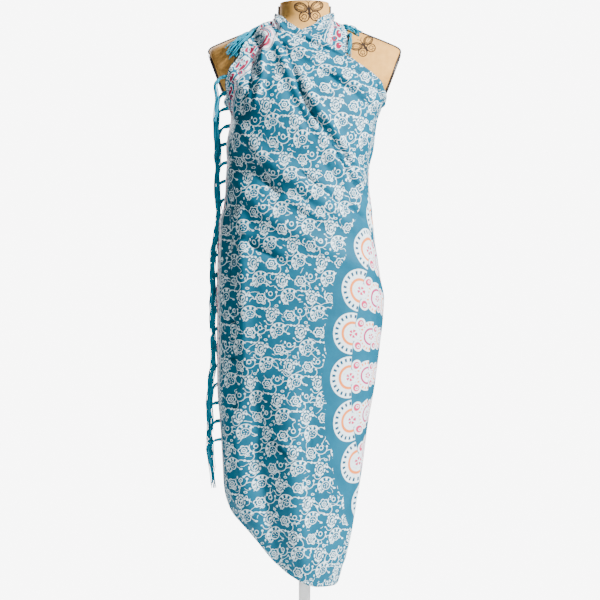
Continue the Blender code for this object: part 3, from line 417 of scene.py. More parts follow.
def figure_point(height, degrees):
    """Gives points of the dress form's skin before the arms are cut flat."""
    height = np.asarray(height, dtype=float)
    side = half_width(height)
    return ring_point(height, degrees, side, side, figure_front(height), figure_back(height))


def carrier_point(height, degrees):
    """Gives points of the smooth shape that the cloth follows."""
    height, degrees = np.broadcast_arrays(np.asarray(height, dtype=float), np.asarray(degrees, dtype=float))
    side = half_width(height)
    left = side + np.where(degrees < 0, ease_over(height), ease_under(height))
    back = figure_back(height) + ease_back(height) + np.where(degrees < -90, LAP_RISE, 0.0)
    return ring_point(height, degrees, left, side + ease_right(height),
                      figure_front(height) - ease_front(height), back)


def outwards(surface, height, degrees):
    """Gives the outward directions of a surface."""
    small_turn = 0.5
    small_rise = 0.002
    across = surface(height, degrees + small_turn) - surface(height, degrees - small_turn)
    up = surface(height + small_rise, degrees) - surface(height - small_rise, degrees)
    direction = np.cross(across, up)
    return direction / np.linalg.norm(direction, axis=-1, keepdims=True)


def unrolled(degrees, height):
    """Lays places of the tube flat, in metres."""
    wide = 0.155 + 0.1 * np.maximum(0.0, 0.02 - np.abs(height - 1.38))
    return np.stack((np.radians(degrees) * wide, height + 0 * degrees), axis=-1)


def turn_of(across, height):
    """Finds the angle on the front at which the cloth is this far across."""
    turns = np.linspace(-90, 90, 361)
    reach = carrier_point(np.full(turns.shape, height), turns)[:, 0]
    return float(np.interp(across, reach, turns))


def distance_to_path(places, path):
    """Gives how far flat places lie from a line of flat points, and how far along it, from 0 to 1."""
    nearest = np.full(places.shape[:-1], 1e9)
    along = np.zeros(places.shape[:-1])
    last = len(path) - 1
    for i in range(last):
        step = path[i + 1] - path[i]
        share = np.clip((places - path[i]) @ step / (step @ step), 0.0, 1.0)
        gap = np.linalg.norm(places - path[i] - share[..., None] * step, axis=-1)
        closer = gap < nearest
        nearest = np.where(closer, gap, nearest)
        along = np.where(closer, (i + share) / last, along)
    return nearest, along


def flat_path(places):
    """Lays a path given in degrees and heights flat."""
    return np.array([unrolled(np.float64(degrees), np.float64(height)) for degrees, height in places])


TOP_ROWS = np.arange(UNDERARM_ROW + 1)
TOP_EDGE = [unrolled(FRONT_LINES[2](row), FRONT_LINES[3](row)) for row in TOP_ROWS]
TOP_EDGE += [unrolled(turn, back_top(turn)) for turn in np.arange(96.0, BACK_END + 1, 10.0)]
CREASES = [(height * FOLD_STRENGTH, width, flat_path(path)) for height, width, path in FOLDS + BACK_CREASES]
CREASES += [(height * CREASE_STRENGTH, width, flat_path([(turn_of(*place), place[1]) for place in path]))
            for height, width, path in FRONT_CREASES]


def relief(degrees, height):
    """Gives how far the folds and creases raise the cloth."""
    places = unrolled(degrees, height)
    raised = np.zeros(places.shape[:-1])
    for rise, width, path in CREASES:
        gap, along = distance_to_path(places, path)
        fade = np.sin(math.pi * (0.08 + 0.84 * along)) ** 0.6
        raised += rise * fade * np.exp(-((gap / width) ** 2))
    gap, along = distance_to_path(places, TOP_EDGE)
    amount = np.minimum(1.0, 0.25 + 6.0 * along)
    rolled = ROLL_HEIGHT * amount * np.sin(math.pi * np.minimum(gap, ROLL_WIDTH) / ROLL_WIDTH)
    return raised + rolled


def fullness(degrees, height):
    """Gives how far the slack cloth stands off the figure, so that its creases have room."""
    turn = np.abs((degrees + 180.0) % 360.0 - 180.0)
    front = np.clip((SLACK_FRONT_LIMIT - turn) / SLACK_FADE, 0.0, 1.0)
    back = np.clip((turn - SLACK_BACK_LIMIT) / SLACK_FADE, 0.0, 1.0)
    places = unrolled(degrees, height)
    gap, _ = distance_to_path(places, TOP_EDGE)
    near_top = np.clip((gap - TOP_HELD) / TOP_FADE, 0.0, 1.0)
    above_hem = np.clip((height - hem_height(degrees)) / HEM_FADE, HEM_SLACK, 1.0)
    return (SLACK_FRONT * front + SLACK_BACK * back) * near_top * above_hem


def cloth_point(degrees, height, extra=0.0):
    """Gives the inner points of the wound cloth."""
    lift = BASE_STAND_OFF + relief(degrees, height) + fullness(degrees, height) + extra
    return carrier_point(height, degrees) + outwards(carrier_point, height, degrees) * lift[..., None]


def front_place(row, share):
    """Gives degrees and height on the front, by row and share of the way from the fringed end."""
    left, left_height, right, right_height = [column(np.minimum(row, LAST_ROW)) for column in FRONT_LINES]
    fall = np.clip((row - LAST_ROW) / SKIRT_ROWS, 0.0, 1.0)
    left = left + fall * (HEM[0][0] - left)
    degrees = left + share * (right - left)
    height = left_height + share * (right_height - left_height)
    return degrees, height + fall * (hem_height(degrees) - height)


def back_place(row, degrees):
    """Gives the height of places on the back, by the row of the front that meets them at the side."""
    top = FRONT_LINES[3](UNDERARM_ROW)
    hem = hem_height(90.0)
    base = FRONT_LINES[3](LAST_ROW)
    side = FRONT_LINES[3](np.minimum(row, LAST_ROW))
    side = side + np.clip((row - LAST_ROW) / SKIRT_ROWS, 0.0, 1.0) * (hem - base)
    share = (top - side) / (top - hem)
    return back_top(degrees) + share * (hem_height(degrees) - back_top(degrees))


def pleats(row, share):
    """Gives the rise of the gathers that fan out from the neck."""
    near = np.maximum(0.0, 1.0 - row / (UNDERARM_ROW - 2)) ** 1.5
    wave = GATHER_HEIGHT * near * (1.0 - np.cos(2 * math.pi * GATHER_WAVES * share))
    reach = np.maximum(0.0, 1.0 - row / (UNDERARM_ROW + 3)) ** 1.3
    uneven = share + 0.035 * np.sin(2 * math.pi * 1.7 * share + 0.9)
    fine = 0.5 - 0.5 * np.cos(2 * math.pi * PLEATS * uneven)
    return wave + PLEAT_HEIGHT * reach * fine * np.sin(math.pi * np.clip(share, 0, 1)) ** 0.5


def even_rows():
    """Chooses the rows of the front so that none is more than the row spacing from the next."""
    rows = np.linspace(0, LAST_ROW + SKIRT_ROWS, 900)
    walks = []
    for share in (0.0, 0.25, 0.5, 0.75, 1.0):
        degrees, height = front_place(rows, np.full(rows.shape, share))
        points = carrier_point(height, degrees)
        walks.append(np.linalg.norm(np.diff(points, axis=0), axis=1))
    walk = np.concatenate(([0.0], np.cumsum(np.max(walks, axis=0))))
    before = walk[np.searchsorted(rows, UNDERARM_ROW)]
    upper = np.linspace(0, before, int(before / ROW_SPACING) + 2)
    lower = np.linspace(before, walk[-1], int((walk[-1] - before) / ROW_SPACING) + 2)
    chosen = np.interp(np.concatenate((upper, lower[1:])), walk, rows)
    chosen[len(upper) - 1] = UNDERARM_ROW
    return chosen, len(upper) - 1


# Laying the cloth flat


def spring_pairs(numbers):
    """Gives the pairs of neighbours in a grid of point numbers."""
    pairs = [(numbers[:-1], numbers[1:]), (numbers[:, :-1], numbers[:, 1:]),
             (numbers[:-1, :-1], numbers[1:, 1:]), (numbers[:-1, 1:], numbers[1:, :-1])]
    return np.concatenate([np.stack((a.ravel(), b.ravel()), axis=1) for a, b in pairs])


def lay_flat(points, start, pairs, rounds=2500):
    """Relaxes flat places until neighbours lie as far apart as they do on the cloth."""
    first, second = pairs[:, 0], pairs[:, 1]
    rest = np.linalg.norm(points[first] - points[second], axis=1)
    flat = start.copy()
    count = len(points)
    valence = np.bincount(first, minlength=count) + np.bincount(second, minlength=count)
    for _ in range(rounds):
        step = flat[second] - flat[first]
        length = np.linalg.norm(step, axis=1)
        pull = step * ((length - rest) / np.maximum(length, 1e-9) * 0.5)[:, None]
        for axis in range(2):
            move = np.bincount(first, pull[:, axis], count) - np.bincount(second, pull[:, axis], count)
            flat[:, axis] += 1.6 * move / valence
    return flat


def spread(values, rows, columns, at_rows, at_columns):
    """Reads a grid of values at other rows and columns."""
    r = np.clip(np.interp(at_rows, rows, np.arange(len(rows))), 0, len(rows) - 1.000001)
    c = np.clip(np.interp(at_columns, columns, np.arange(len(columns))), 0, len(columns) - 1.000001)
    low_r, low_c = r.astype(int), c.astype(int)
    part_r, part_c = (r - low_r)[:, None, None], (c - low_c)[None, :, None]
    rows_low = values[low_r][:, low_c] * (1 - part_c) + values[low_r][:, low_c + 1] * part_c
    rows_high = values[low_r + 1][:, low_c] * (1 - part_c) + values[low_r + 1][:, low_c + 1] * part_c
    return rows_low * (1 - part_r) + rows_high * part_r


def flat_cloth(at_rows, at_shares, at_turns):
    """Works out where each point of the wound cloth lies on the cloth laid flat."""
    rows = np.linspace(0, LAST_ROW + SKIRT_ROWS, 56)
    rows[np.argmin(np.abs(rows - UNDERARM_ROW))] = UNDERARM_ROW
    under = int(np.where(rows == UNDERARM_ROW)[0][0])
    shares = np.linspace(0, 1, 25)
    turns = np.linspace(90, BACK_END, 30)
    degrees, height = front_place(rows[:, None], shares[None, :])
    front = carrier_point(height, degrees)
    front_start = unrolled(degrees, height)
    turn_grid = np.broadcast_to(turns[None, 1:], (len(rows) - under, len(turns) - 1))
    heights = back_place(rows[under:, None], turns[None, 1:])
    back = carrier_point(heights, turn_grid)
    back_start = unrolled(turn_grid, heights)
    numbers = numbered(front)
    behind = numbered(back, numbers.size)
    behind = np.concatenate((numbers[under:, -1:], behind), axis=1)
    pairs = np.concatenate((spring_pairs(numbers), spring_pairs(behind)))
    points = np.concatenate((front.reshape(-1, 3), back.reshape(-1, 3)))
    start = np.concatenate((front_start.reshape(-1, 2), back_start.reshape(-1, 2)))
    flat = lay_flat(points, start, pairs)
    top, bottom = flat[numbers[under, -1]], flat[numbers[-1, -1]]
    down = (bottom - top) / np.linalg.norm(bottom - top)
    turned = np.stack(((flat - top) @ np.array((-down[1], down[0])), (flat - top) @ -down), axis=1)
    turned[:, 1] += FRONT_LINES[3](UNDERARM_ROW)
    front_flat = turned[numbers]
    back_flat = turned[behind]
    fine_front = spread(front_flat, rows, shares, at_rows, at_shares)
    lower = at_rows[at_rows >= UNDERARM_ROW - 1e-9]
    return fine_front, spread(back_flat, rows[under:], turns, lower, at_turns)


# Meshes


def link(name, mesh):
    """Makes a named object of a mesh."""
    piece = bpy.data.objects.new(name, mesh)
    bpy.context.scene.collection.objects.link(piece)
    return piece


def settled(piece):
    """Turns a piece with modifiers into a plain mesh."""
    shape = bpy.data.meshes.new_from_object(piece.evaluated_get(bpy.context.evaluated_depsgraph_get()))
    shape.name = piece.name
    piece.modifiers.clear()
    piece.data = shape
    return piece


def tree_of(points, faces):
    """Builds a search tree of a surface."""
    return BVHTree.FromPolygons([tuple(point) for point in points], [tuple(face) for face in faces])


def grid_faces(numbers):
    """Gives the faces of a grid of point numbers, seen from outside."""
    corners = (numbers[:-1, :-1], numbers[1:, :-1], numbers[1:, 1:], numbers[:-1, 1:])
    return np.stack(corners, axis=-1).reshape(-1, 4)


def grid_tree(grid):
    """Builds a search tree of a grid of points."""
    return tree_of(grid.reshape(-1, 3), grid_faces(numbered(grid)))


def grid_normals(grid):
    """Gives the outward directions at the points of a grid."""
    normals = np.cross(np.gradient(grid, axis=0), np.gradient(grid, axis=1))
    return normals / (np.linalg.norm(normals, axis=2)[..., None] + 1e-12)


def ease_off(grid, tree, gap, reach=0.02, rounds=4):
    """Pushes points outwards until they keep a gap to what lies below, and softens the push."""
    for _ in range(rounds):
        push = np.zeros(grid.shape)
        for place in np.ndindex(grid.shape[:2]):
            found, normal, _, _ = tree.find_nearest(grid[place], reach)
            if found is None:
                continue
            short = gap - float(np.dot(grid[place] - np.array(found), np.array(normal)))
            if short > 0:
                push[place] = np.array(normal) * short
        if not push.any():
            break
        wide = push.copy()
        for axis in range(2):
            for shift in (-1, 1):
                near = np.roll(push, shift, axis=axis)
                stronger = np.linalg.norm(near, axis=2) > np.linalg.norm(wide, axis=2)
                wide = np.where(stronger[..., None], near * PUSH_SPREAD, wide)
        grid = grid + np.maximum(np.abs(wide), np.abs(push)) * np.sign(np.where(np.abs(wide) > 0, wide, push))
    return grid


def mapped_mesh(name, points, faces, maps):
    """Makes a mesh whose corners carry flat places, one map for each name."""
    mesh = bpy.data.meshes.new(name)
    mesh.from_pydata([tuple(point) for point in points], [], [tuple(face) for face in faces])
    corners = np.zeros(len(mesh.loops), dtype=int)
    mesh.loops.foreach_get("vertex_index", corners)
    for title, places in maps.items():
        layer = mesh.uv_layers.new(name=title)
        layer.data.foreach_set("uv", np.asarray(places, dtype=float)[corners].ravel())
    mesh.shade_smooth()
    return mesh


def face_outwards(mesh, merge=None):
    """Turns the faces of a closed piece outwards, once points that lie together are one."""
    work = bmesh.new()
    work.from_mesh(mesh)
    if merge:
        bmesh.ops.remove_doubles(work, verts=work.verts, dist=merge)
    bmesh.ops.recalc_face_normals(work, faces=work.faces)
    work.to_mesh(mesh)
    work.free()
    mesh.shade_smooth()


def thicken(piece):
    """Gives a sheet its thickness, outwards."""
    wall = piece.modifiers.new("thickness", "SOLIDIFY")
    wall.thickness = CLOTH_THICKNESS
    wall.offset = 1.0
    wall.use_quality_normals = True
    return settled(piece)


def end_places(flat, line, stretch=None):
    """Gives how far flat places lie from a fringed end, and how far along it."""
    gap, along = distance_to_path(flat, line)
    length = np.sum(np.linalg.norm(np.diff(line, axis=0), axis=1))
    if stretch:
        gap = gap * np.interp(along * length, *stretch)
    return np.stack((gap, along * length), axis=-1)


def finish_piece(piece, material, slot, *nodes):
    """Gives a piece its material and its place in the frame."""
    piece.data.materials.clear()
    piece.data.materials.append(material)
    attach(piece, "root")
    if nodes:
        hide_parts(*nodes)
    return piece


# The dress form


def skin_point(height, degrees):
    """Gives points of the padded skin, with the arms cut flat."""
    points = figure_point(height, degrees)
    plane = PLATE_REACH + PLATE_LEAN * (points[..., 2] - PLATE_HEIGHT)
    plane = plane + 3.0 * np.maximum(0.0, ARM_BOTTOM - points[..., 2])
    across = np.abs(points[..., 0])
    soft = 0.003
    cut = 0.5 * (across + plane - np.sqrt((across - plane) ** 2 + soft ** 2)) + 0.0003
    points[..., 0] = np.sign(points[..., 0]) * np.minimum(across, cut)
    return points


def make_skin():
    """Makes the padded torso as one closed skin."""
    heights = np.concatenate((np.linspace(FORM_TOP, SKIN_MIDDLE, SKIN_UPPER_ROWS),
                              np.linspace(SKIN_MIDDLE, FORM_BOTTOM, SKIN_LOWER_ROWS)[1:]))
    turns = np.linspace(0, 360, SKIN_COLUMNS + 1)[:-1]
    grid = skin_point(heights[:, None], np.broadcast_to(turns, (len(heights), len(turns))))
    count = len(turns)
    numbers = np.arange(grid.shape[0] * count).reshape(-1, count)
    numbers = np.concatenate((numbers, numbers[:, :1]), axis=1)
    faces = [tuple(face) for face in grid_faces(numbers)]
    faces.append(tuple(range(count - 1, -1, -1)))
    faces.append(tuple(range(len(grid.reshape(-1, 3)) - count, len(grid.reshape(-1, 3)))))
    mesh = bpy.data.meshes.new("form_skin")
    mesh.from_pydata([tuple(point) for point in grid.reshape(-1, 3)], [], faces)
    face_outwards(mesh)
    mesh.set_sharp_from_angle(angle=math.radians(SKIN_SHARP))
    return link("form_skin", mesh)


# The wound cloth


def make_sarong(below):
    """Makes the wound cloth as one sheet, from the fringed end round the front and the back."""
    rows, under = even_rows()
    shares = np.concatenate((np.linspace(0, TURNED_SHARE, FRONT_STEPS - TURNED_STEPS),
                             np.linspace(TURNED_SHARE, 1.0, TURNED_STEPS + 1)[1:]))
    turns = np.linspace(90, BACK_END, BACK_STEPS)
    degrees, height = front_place(rows[:, None], shares[None, :])
    front = cloth_point(degrees, height, pleats(rows[:, None], shares[None, :]))
    turn_grid = np.broadcast_to(turns[None, :], (len(rows) - under, len(turns)))
    back = cloth_point(turn_grid, back_place(rows[under:, None], turns[None, :]))
    back = ease_off(back, below, CLOTH_CLEARANCE)
    front = ease_off(front, below, CLOTH_CLEARANCE)
    chest = under_grid()
    chest = ease_off(chest, below, CLOTH_CLEARANCE)
    lapped = back[:, turns > LAPPED_FROM] + grid_normals(back[:, turns > LAPPED_FROM]) * CLOTH_THICKNESS
    front = ease_off(front, grid_tree(lapped), CLOTH_CLEARANCE)
    upper = chest + grid_normals(chest) * CLOTH_THICKNESS
    front[:under] = ease_off(front[:under], grid_tree(upper), CLOTH_CLEARANCE)
    front[under:, -1] = back[:, 0]
    front_flat, back_flat = flat_cloth(rows, shares, turns)
    numbers = numbered(front)
    behind = numbered(back[:, 1:], numbers.size)
    behind = np.concatenate((numbers[under:, -1:], behind), axis=1)
    points = np.concatenate((front.reshape(-1, 3), back[:, 1:].reshape(-1, 3)))
    flat = np.concatenate((front_flat.reshape(-1, 2), back_flat[:, 1:].reshape(-1, 2)))
    faces = np.concatenate((grid_faces(numbers), grid_faces(behind)))
    line = front_flat[:, 0]
    end = end_places(flat, line[::3], BORDER_DRAW)
    mesh = mapped_mesh("sarong", points, faces, {"cloth": flat, "end": end})
    piece = thicken(link("sarong", mesh))
    return piece, front, chest


def table_places(table, row_count, share_count):
    """Gives the rows, the shares across, the degrees and the heights of a small sheet's points."""
    lines, last = row_lines(table)
    rows = np.linspace(0, last, row_count)[:, None]
    shares = np.linspace(0, 1, share_count)[None, :]
    left, left_height, right, right_height = [line(rows) for line in lines]
    return rows, shares, left + shares * (right - left), left_height + shares * (right_height - left_height)


def on_figure(height, degrees, lift):
    """Gives points that stand off the figure."""
    out = outwards(figure_point, height, degrees)
    return figure_point(height, degrees) + out * np.asarray(lift)[..., None]


def under_grid():
    """Works out the inner points of the second end, which lies on the chest below the first."""
    rows, shares, degrees, height = table_places(UNDER_ROWS, *UNDER_GRID)
    wave = 2 * math.pi * (UNDER_WAVES * shares + UNDER_DRIFT * np.sin(rows))
    fade = np.maximum(0.0, 1.0 - rows / UNDER_FADE_ROWS)
    return on_figure(height, degrees, SHEET_LIFT + UNDER_RIPPLE * (1 - np.cos(wave)) * fade)


def small_sheet(name, grid, end_row=None, end_column=None, corner=(0.0, 0.0)):
    """Makes a small sheet of cloth from its grid, with its flat places and its fringed end."""
    numbers = numbered(grid)
    down = np.concatenate(([0.0], np.cumsum(np.mean(np.linalg.norm(np.diff(grid, axis=0), axis=2), axis=1))))
    across = np.mean(np.cumsum(np.linalg.norm(np.diff(grid, axis=1), axis=2), axis=1), axis=0)
    across = np.concatenate(([0.0], across))
    start = np.stack(np.broadcast_arrays(across[None, :], -down[:, None]), axis=-1).reshape(-1, 2)
    flat = lay_flat(grid.reshape(-1, 3), start, spring_pairs(numbers), SHEET_ROUNDS)
    line = flat[numbers[end_row]] if end_row is not None else flat[numbers[:, end_column]]
    maps = {"cloth": flat + np.array(corner), "end": end_places(flat, line[::3])}
    mesh = mapped_mesh(name, grid.reshape(-1, 3), grid_faces(numbers), maps)
    return thicken(link(name, mesh))


def tail_grid(side):
    """Works out the inner points of a free corner behind the neck."""
    rows, shares, degrees, height = table_places(TAIL_ROWS[side], *TAIL_GRID)
    wave = 2 * math.pi * (TAIL_WAVES * shares + TAIL_DRIFT * rows)
    fade = np.minimum(1.0, rows / TAIL_FADE_ROWS)
    return on_figure(height, degrees, SHEET_LIFT + TAIL_RIPPLE * (1 - np.cos(wave)) * fade)


# Pleats of the gathered corners: how many go round, how deep, how fast they twist
TIE_PLEATS = ((3, 0.10, 1.0), (8, 0.07, 3.1))


def make_tie(name, start, end, start_height, end_height, inner_gap):
    """Makes a gathered corner that is led round the neck, with the grooves of its pleats."""
    share = np.linspace(0, 1, TIE_STEPS)
    degrees = start + share * (end - start)
    height = start_height + share * (end_height - start_height)
    surface = figure_point(height, degrees)
    direction = outwards(figure_point, height, degrees)
    direction[:, 2] = 0
    direction /= np.linalg.norm(direction, axis=1)[:, None]
    centre = surface + direction * (TIE_HALF_THICKNESS + inner_gap)
    turn = np.linspace(0, 2 * math.pi, TIE_COLUMNS + 1)[None, :]
    twist = TIE_TWIST * share[:, None]
    groove = 1.0
    for count, depth, speed in TIE_PLEATS:
        groove = groove - depth * np.cos(count * turn + speed * twist)
    groove = np.minimum(groove, TIE_WIDEST)
    out = direction[:, None, :] * (TIE_HALF_THICKNESS * np.cos(turn) * groove)[..., None]
    up = np.array((0.0, 0.0, 1.0)) * (TIE_HALF_HEIGHT * np.sin(turn) * groove)[..., None]
    grid = centre[:, None, :] + out + up
    length = walked(centre)
    flat = np.stack(np.broadcast_arrays(length[:, None], TIE_MAP_WIDTH * turn), axis=-1)
    return closed_tube(name, grid, flat, {"cloth": (0.31, 1.44), "end": (1.0, 0.0)})


def closed_tube(name, grid, flat, corners):
    """Makes a closed rounded piece of rings of points, whose last column repeats the first."""
    numbers = numbered(grid)
    points = list(map(tuple, grid.reshape(-1, 3)))
    faces = [tuple(face) for face in grid_faces(numbers)]
    places = flat.reshape(-1, 2)
    for ring in (0, -1):
        middle = len(points)
        points.append(tuple(grid[ring, :-1].mean(axis=0)))
        places = np.concatenate((places, places[numbers[ring, 0]][None]))
        for i in range(grid.shape[1] - 1):
            faces.append((numbers[ring, i], numbers[ring, i + 1], middle))
    maps = {title: places + np.array(corner) if title == "cloth" else np.zeros(places.shape) + corner
            for title, corner in corners.items()}
    mesh = mapped_mesh(name, points, faces, maps)
    face_outwards(mesh, MERGE_DISTANCE)
    return link(name, mesh)


def make_knot():
    """Makes the knot behind the neck, with the creases of its two turns."""
    tip = np.linspace(KNOT_END, math.pi - KNOT_END, KNOT_ROWS)[:, None]
    turn = np.linspace(0, 2 * math.pi, KNOT_COLUMNS + 1)[None, :]
    broad = 1.0 - 0.10 * np.cos(3 * turn + 4 * np.cos(tip))
    wrap = 0.055 * np.abs(np.sin(1.5 * turn + 5.0 * np.cos(tip) + 0.4)) ** 0.7
    fine = 0.022 * np.cos(14 * turn + 10 * np.cos(tip))
    size = broad - wrap + fine
    shape = np.stack((np.cos(tip) * (1 - 0.06 * np.abs(np.cos(turn * 1.5))) + 0 * turn,
                      np.sin(tip) * np.cos(turn) * size, np.sin(tip) * np.sin(turn) * size), axis=-1)
    centre = np.array((0.0, float(figure_back(KNOT_HEIGHT)) + KNOT_HALF_SIZE[1] + KNOT_GAP, KNOT_HEIGHT))
    grid = centre + shape * np.array(KNOT_HALF_SIZE)
    flat = np.stack(np.broadcast_arrays(tip * 0.020, turn * 0.016), axis=-1)
    return closed_tube("knot", grid, flat, {"cloth": (0.52, 1.36), "end": (1.0, 0.0)})


# Yarn


def socket_of(tree, name):
    """Finds the identifier of a tree's input by its name."""
    return next(item.identifier for item in tree.interface.items_tree
                if item.name == name and item.in_out == "INPUT")


def yarn_tree():
    """Builds the tree that wraps round yarn about every path of a mesh of edges."""
    tree = bpy.data.node_groups.new("yarn round a path", "GeometryNodeTree")
    for name, kind in (("Geometry", "NodeSocketGeometry"), ("Sides", "NodeSocketInt"),
                       ("Material", "NodeSocketMaterial")):
        tree.interface.new_socket(name, in_out="INPUT", socket_type=kind)
    tree.interface.new_socket("Geometry", in_out="OUTPUT", socket_type="NodeSocketGeometry")
    add = tree.nodes.new
    given = add("NodeGroupInput")
    taken = add("NodeGroupOutput")
    curve = add("GeometryNodeMeshToCurve")
    thick = add("GeometryNodeInputNamedAttribute")
    thick.inputs["Name"].default_value = "thick"
    ring = add("GeometryNodeCurvePrimitiveCircle")
    ring.inputs["Radius"].default_value = 1.0
    wrap = add("GeometryNodeCurveToMesh")
    wrap.inputs["Fill Caps"].default_value = True
    smooth = add("GeometryNodeSetShadeSmooth")
    finish = add("GeometryNodeSetMaterial")
    realize = add("GeometryNodeRealizeInstances")
    joins = ((given.outputs["Geometry"], curve.inputs["Mesh"]),
             (curve.outputs["Curve"], wrap.inputs["Curve"]),
             (thick.outputs["Attribute"], wrap.inputs["Scale"]),
             (given.outputs["Sides"], ring.inputs["Resolution"]),
             (ring.outputs["Curve"], wrap.inputs["Profile Curve"]),
             (wrap.outputs["Mesh"], smooth.inputs["Geometry"]),
             (smooth.outputs["Geometry"], realize.inputs["Geometry"]),
             (realize.outputs["Geometry"], finish.inputs["Geometry"]),
             (given.outputs["Material"], finish.inputs["Material"]),
             (finish.outputs["Geometry"], taken.inputs["Geometry"]))
    for source, target in joins:
        tree.links.new(source, target)
    return tree


YARN_TREE = yarn_tree()


def rounded(path, steps):
    """Draws a smooth line through the points of a path."""
    path = np.asarray(path, dtype=float)
    keys = walked(path)
    tangents = np.gradient(path, keys, axis=0)
    at = np.linspace(0, keys[-1], steps)
    i = np.clip(np.searchsorted(keys, at) - 1, 0, len(keys) - 2)
    width = (keys[i + 1] - keys[i])[:, None]
    s = ((at - keys[i])[:, None]) / width
    return curve_between(s, path[i], path[i + 1], width * tangents[i], width * tangents[i + 1])


def yarn_piece(name, lines, material, sides=5):
    """Makes one piece of many yarns, each a line of points with its radius at each."""
    points, edges, radii = [], [], []
    for line, radius in lines:
        first = len(points)
        points += [tuple(point) for point in line]
        edges += [(first + i, first + i + 1) for i in range(len(line) - 1)]
        radii += list(np.broadcast_to(radius, len(line)))
    mesh = bpy.data.meshes.new(name)
    mesh.from_pydata(points, edges, [])
    thick = mesh.attributes.new("thick", "FLOAT", "POINT")
    thick.data.foreach_set("value", np.array(radii, dtype=np.float32))
    piece = link(name, mesh)
    maker = piece.modifiers.new("yarn", "NODES")
    maker.node_group = YARN_TREE
    maker[socket_of(YARN_TREE, "Sides")] = sides
    maker[socket_of(YARN_TREE, "Material")] = material
    return settled(piece)


def tassel(path, draw, width=0.0033, yarns=12, knot_at=0.16, splay=1.6):
    """Gives the yarns and the knot of one tassel that follows a path."""
    middle = rounded(path, TASSEL_STEPS)
    share = np.linspace(0, 1, TASSEL_STEPS)
    heading = np.gradient(middle, axis=0)
    heading /= np.linalg.norm(heading, axis=1)[:, None]
    side = np.cross(heading, np.array(TASSEL_ASIDE))
    side /= np.linalg.norm(side, axis=1)[:, None]
    other = np.cross(heading, side)
    closed = np.exp(-((share - knot_at) / TASSEL_TIED_LENGTH) ** 2)
    opened = 1.0 + 0.1 * np.minimum(1, share / 0.3) + (splay - 1) * share ** 2
    reach = width * opened * (1 - TASSEL_TIED_NIP * closed)
    lines = []
    for number in range(yarns):
        turn = 2 * math.pi * number / yarns + draw.uniform(-0.3, 0.3)
        out = reach * (TASSEL_CORE if number % 3 == 0 else 1.0) * draw.uniform(0.8, 1.1)
        wander = turn + 2.2 * share + 0.5 * np.sin(5 * share + draw.uniform(0, 6))
        line = middle + side * (out * np.cos(wander))[:, None] + other * (out * np.sin(wander))[:, None]
        last = TASSEL_STEPS - draw.choice((0, 0, 1, 2, 3))
        radius = YARN_RADIUS * draw.uniform(0.85, 1.15) * (1 - 0.45 * share ** 4)
        lines.append((line[:last], radius[:last]))
    at = int(knot_at * (TASSEL_STEPS - 1))
    along = np.linspace(-TASSEL_KNOT_HALF, TASSEL_KNOT_HALF, TASSEL_KNOT_STEPS)[:, None]
    knot = middle[at] + heading[at] * along
    rise = np.sqrt(np.maximum(0.04, 1 - np.linspace(-1, 1, TASSEL_KNOT_STEPS) ** 2))
    bulge = rise * width * TASSEL_KNOT_WIDTH
    lines.append((knot, bulge))
    return lines


# Nodes for the materials


class Wire:
    """A number that runs between the nodes of a material or a node group."""

    def __init__(self, tree, socket):
        self.tree = tree
        self.socket = socket

    def made(self, operation, *others, clamp=False):
        node = self.tree.nodes.new("ShaderNodeMath")
        node.operation = operation
        node.use_clamp = clamp
        for place, value in enumerate((self, *others)):
            if isinstance(value, Wire):
                self.tree.links.new(value.socket, node.inputs[place])
            else:
                node.inputs[place].default_value = value
        return Wire(self.tree, node.outputs[0])

    def __add__(self, other):
        return self.made("ADD", other)

    def __sub__(self, other):
        return self.made("SUBTRACT", other)

    def __mul__(self, other):
        return self.made("MULTIPLY", other)

    def __truediv__(self, other):
        return self.made("DIVIDE", other)

    def below(self, limit, soft=0.0005):
        """Gives 1 where this is below the limit, and 0 above it, with a soft edge."""
        gap = (self - limit) * (-1.0 / soft)
        return gap.made("ADD", 0.5, clamp=True)

    def near(self, value, half, soft=0.0005):
        """Gives 1 where this lies within half a width of a value."""
        return (self - value).made("ABSOLUTE").below(half, soft)


def larger(first, *others):
    """Gives the largest of some masks."""
    for other in others:
        first = first.made("MAXIMUM", other)
    return first


def distance(x, y):
    """Gives how far a place lies from the middle."""
    return (x * x + y * y).made("SQRT")


def turn_about(x, y):
    """Gives the angle of a place about the middle, in radians."""
    return y.made("ARCTAN2", x)


def group_tree(name, inputs, outputs):
    """Starts a shader node group, and gives its tree, its inputs by name and its output node."""
    tree = bpy.data.node_groups.new(name, "ShaderNodeTree")
    for title, kind, value in inputs:
        socket = tree.interface.new_socket(title, in_out="INPUT", socket_type=kind)
        if value is not None:
            socket.default_value = value
    for title, kind in outputs:
        tree.interface.new_socket(title, in_out="OUTPUT", socket_type=kind)
    given = tree.nodes.new("NodeGroupInput")
    return tree, given.outputs, tree.nodes.new("NodeGroupOutput")


def apart(tree, socket):
    """Splits a place into its two flat numbers."""
    node = tree.nodes.new("ShaderNodeSeparateXYZ")
    tree.links.new(socket, node.inputs[0])
    return Wire(tree, node.outputs[0]), Wire(tree, node.outputs[1])


def joined(tree, x, y):
    """Makes a place of two numbers."""
    node = tree.nodes.new("ShaderNodeCombineXYZ")
    tree.links.new(x.socket, node.inputs[0])
    tree.links.new(y.socket, node.inputs[1])
    return node.outputs[0]


def blended(tree, mask, below, above):
    """Lays one colour over another where a mask says."""
    node = tree.nodes.new("ShaderNodeMix")
    node.data_type = "RGBA"
    tree.links.new(mask.socket, node.inputs[0])
    for place, colour in ((6, below), (7, above)):
        if isinstance(colour, bpy.types.NodeSocket):
            tree.links.new(colour, node.inputs[place])
        else:
            node.inputs[place].default_value = (*colour, 1.0)
    return node.outputs[2]


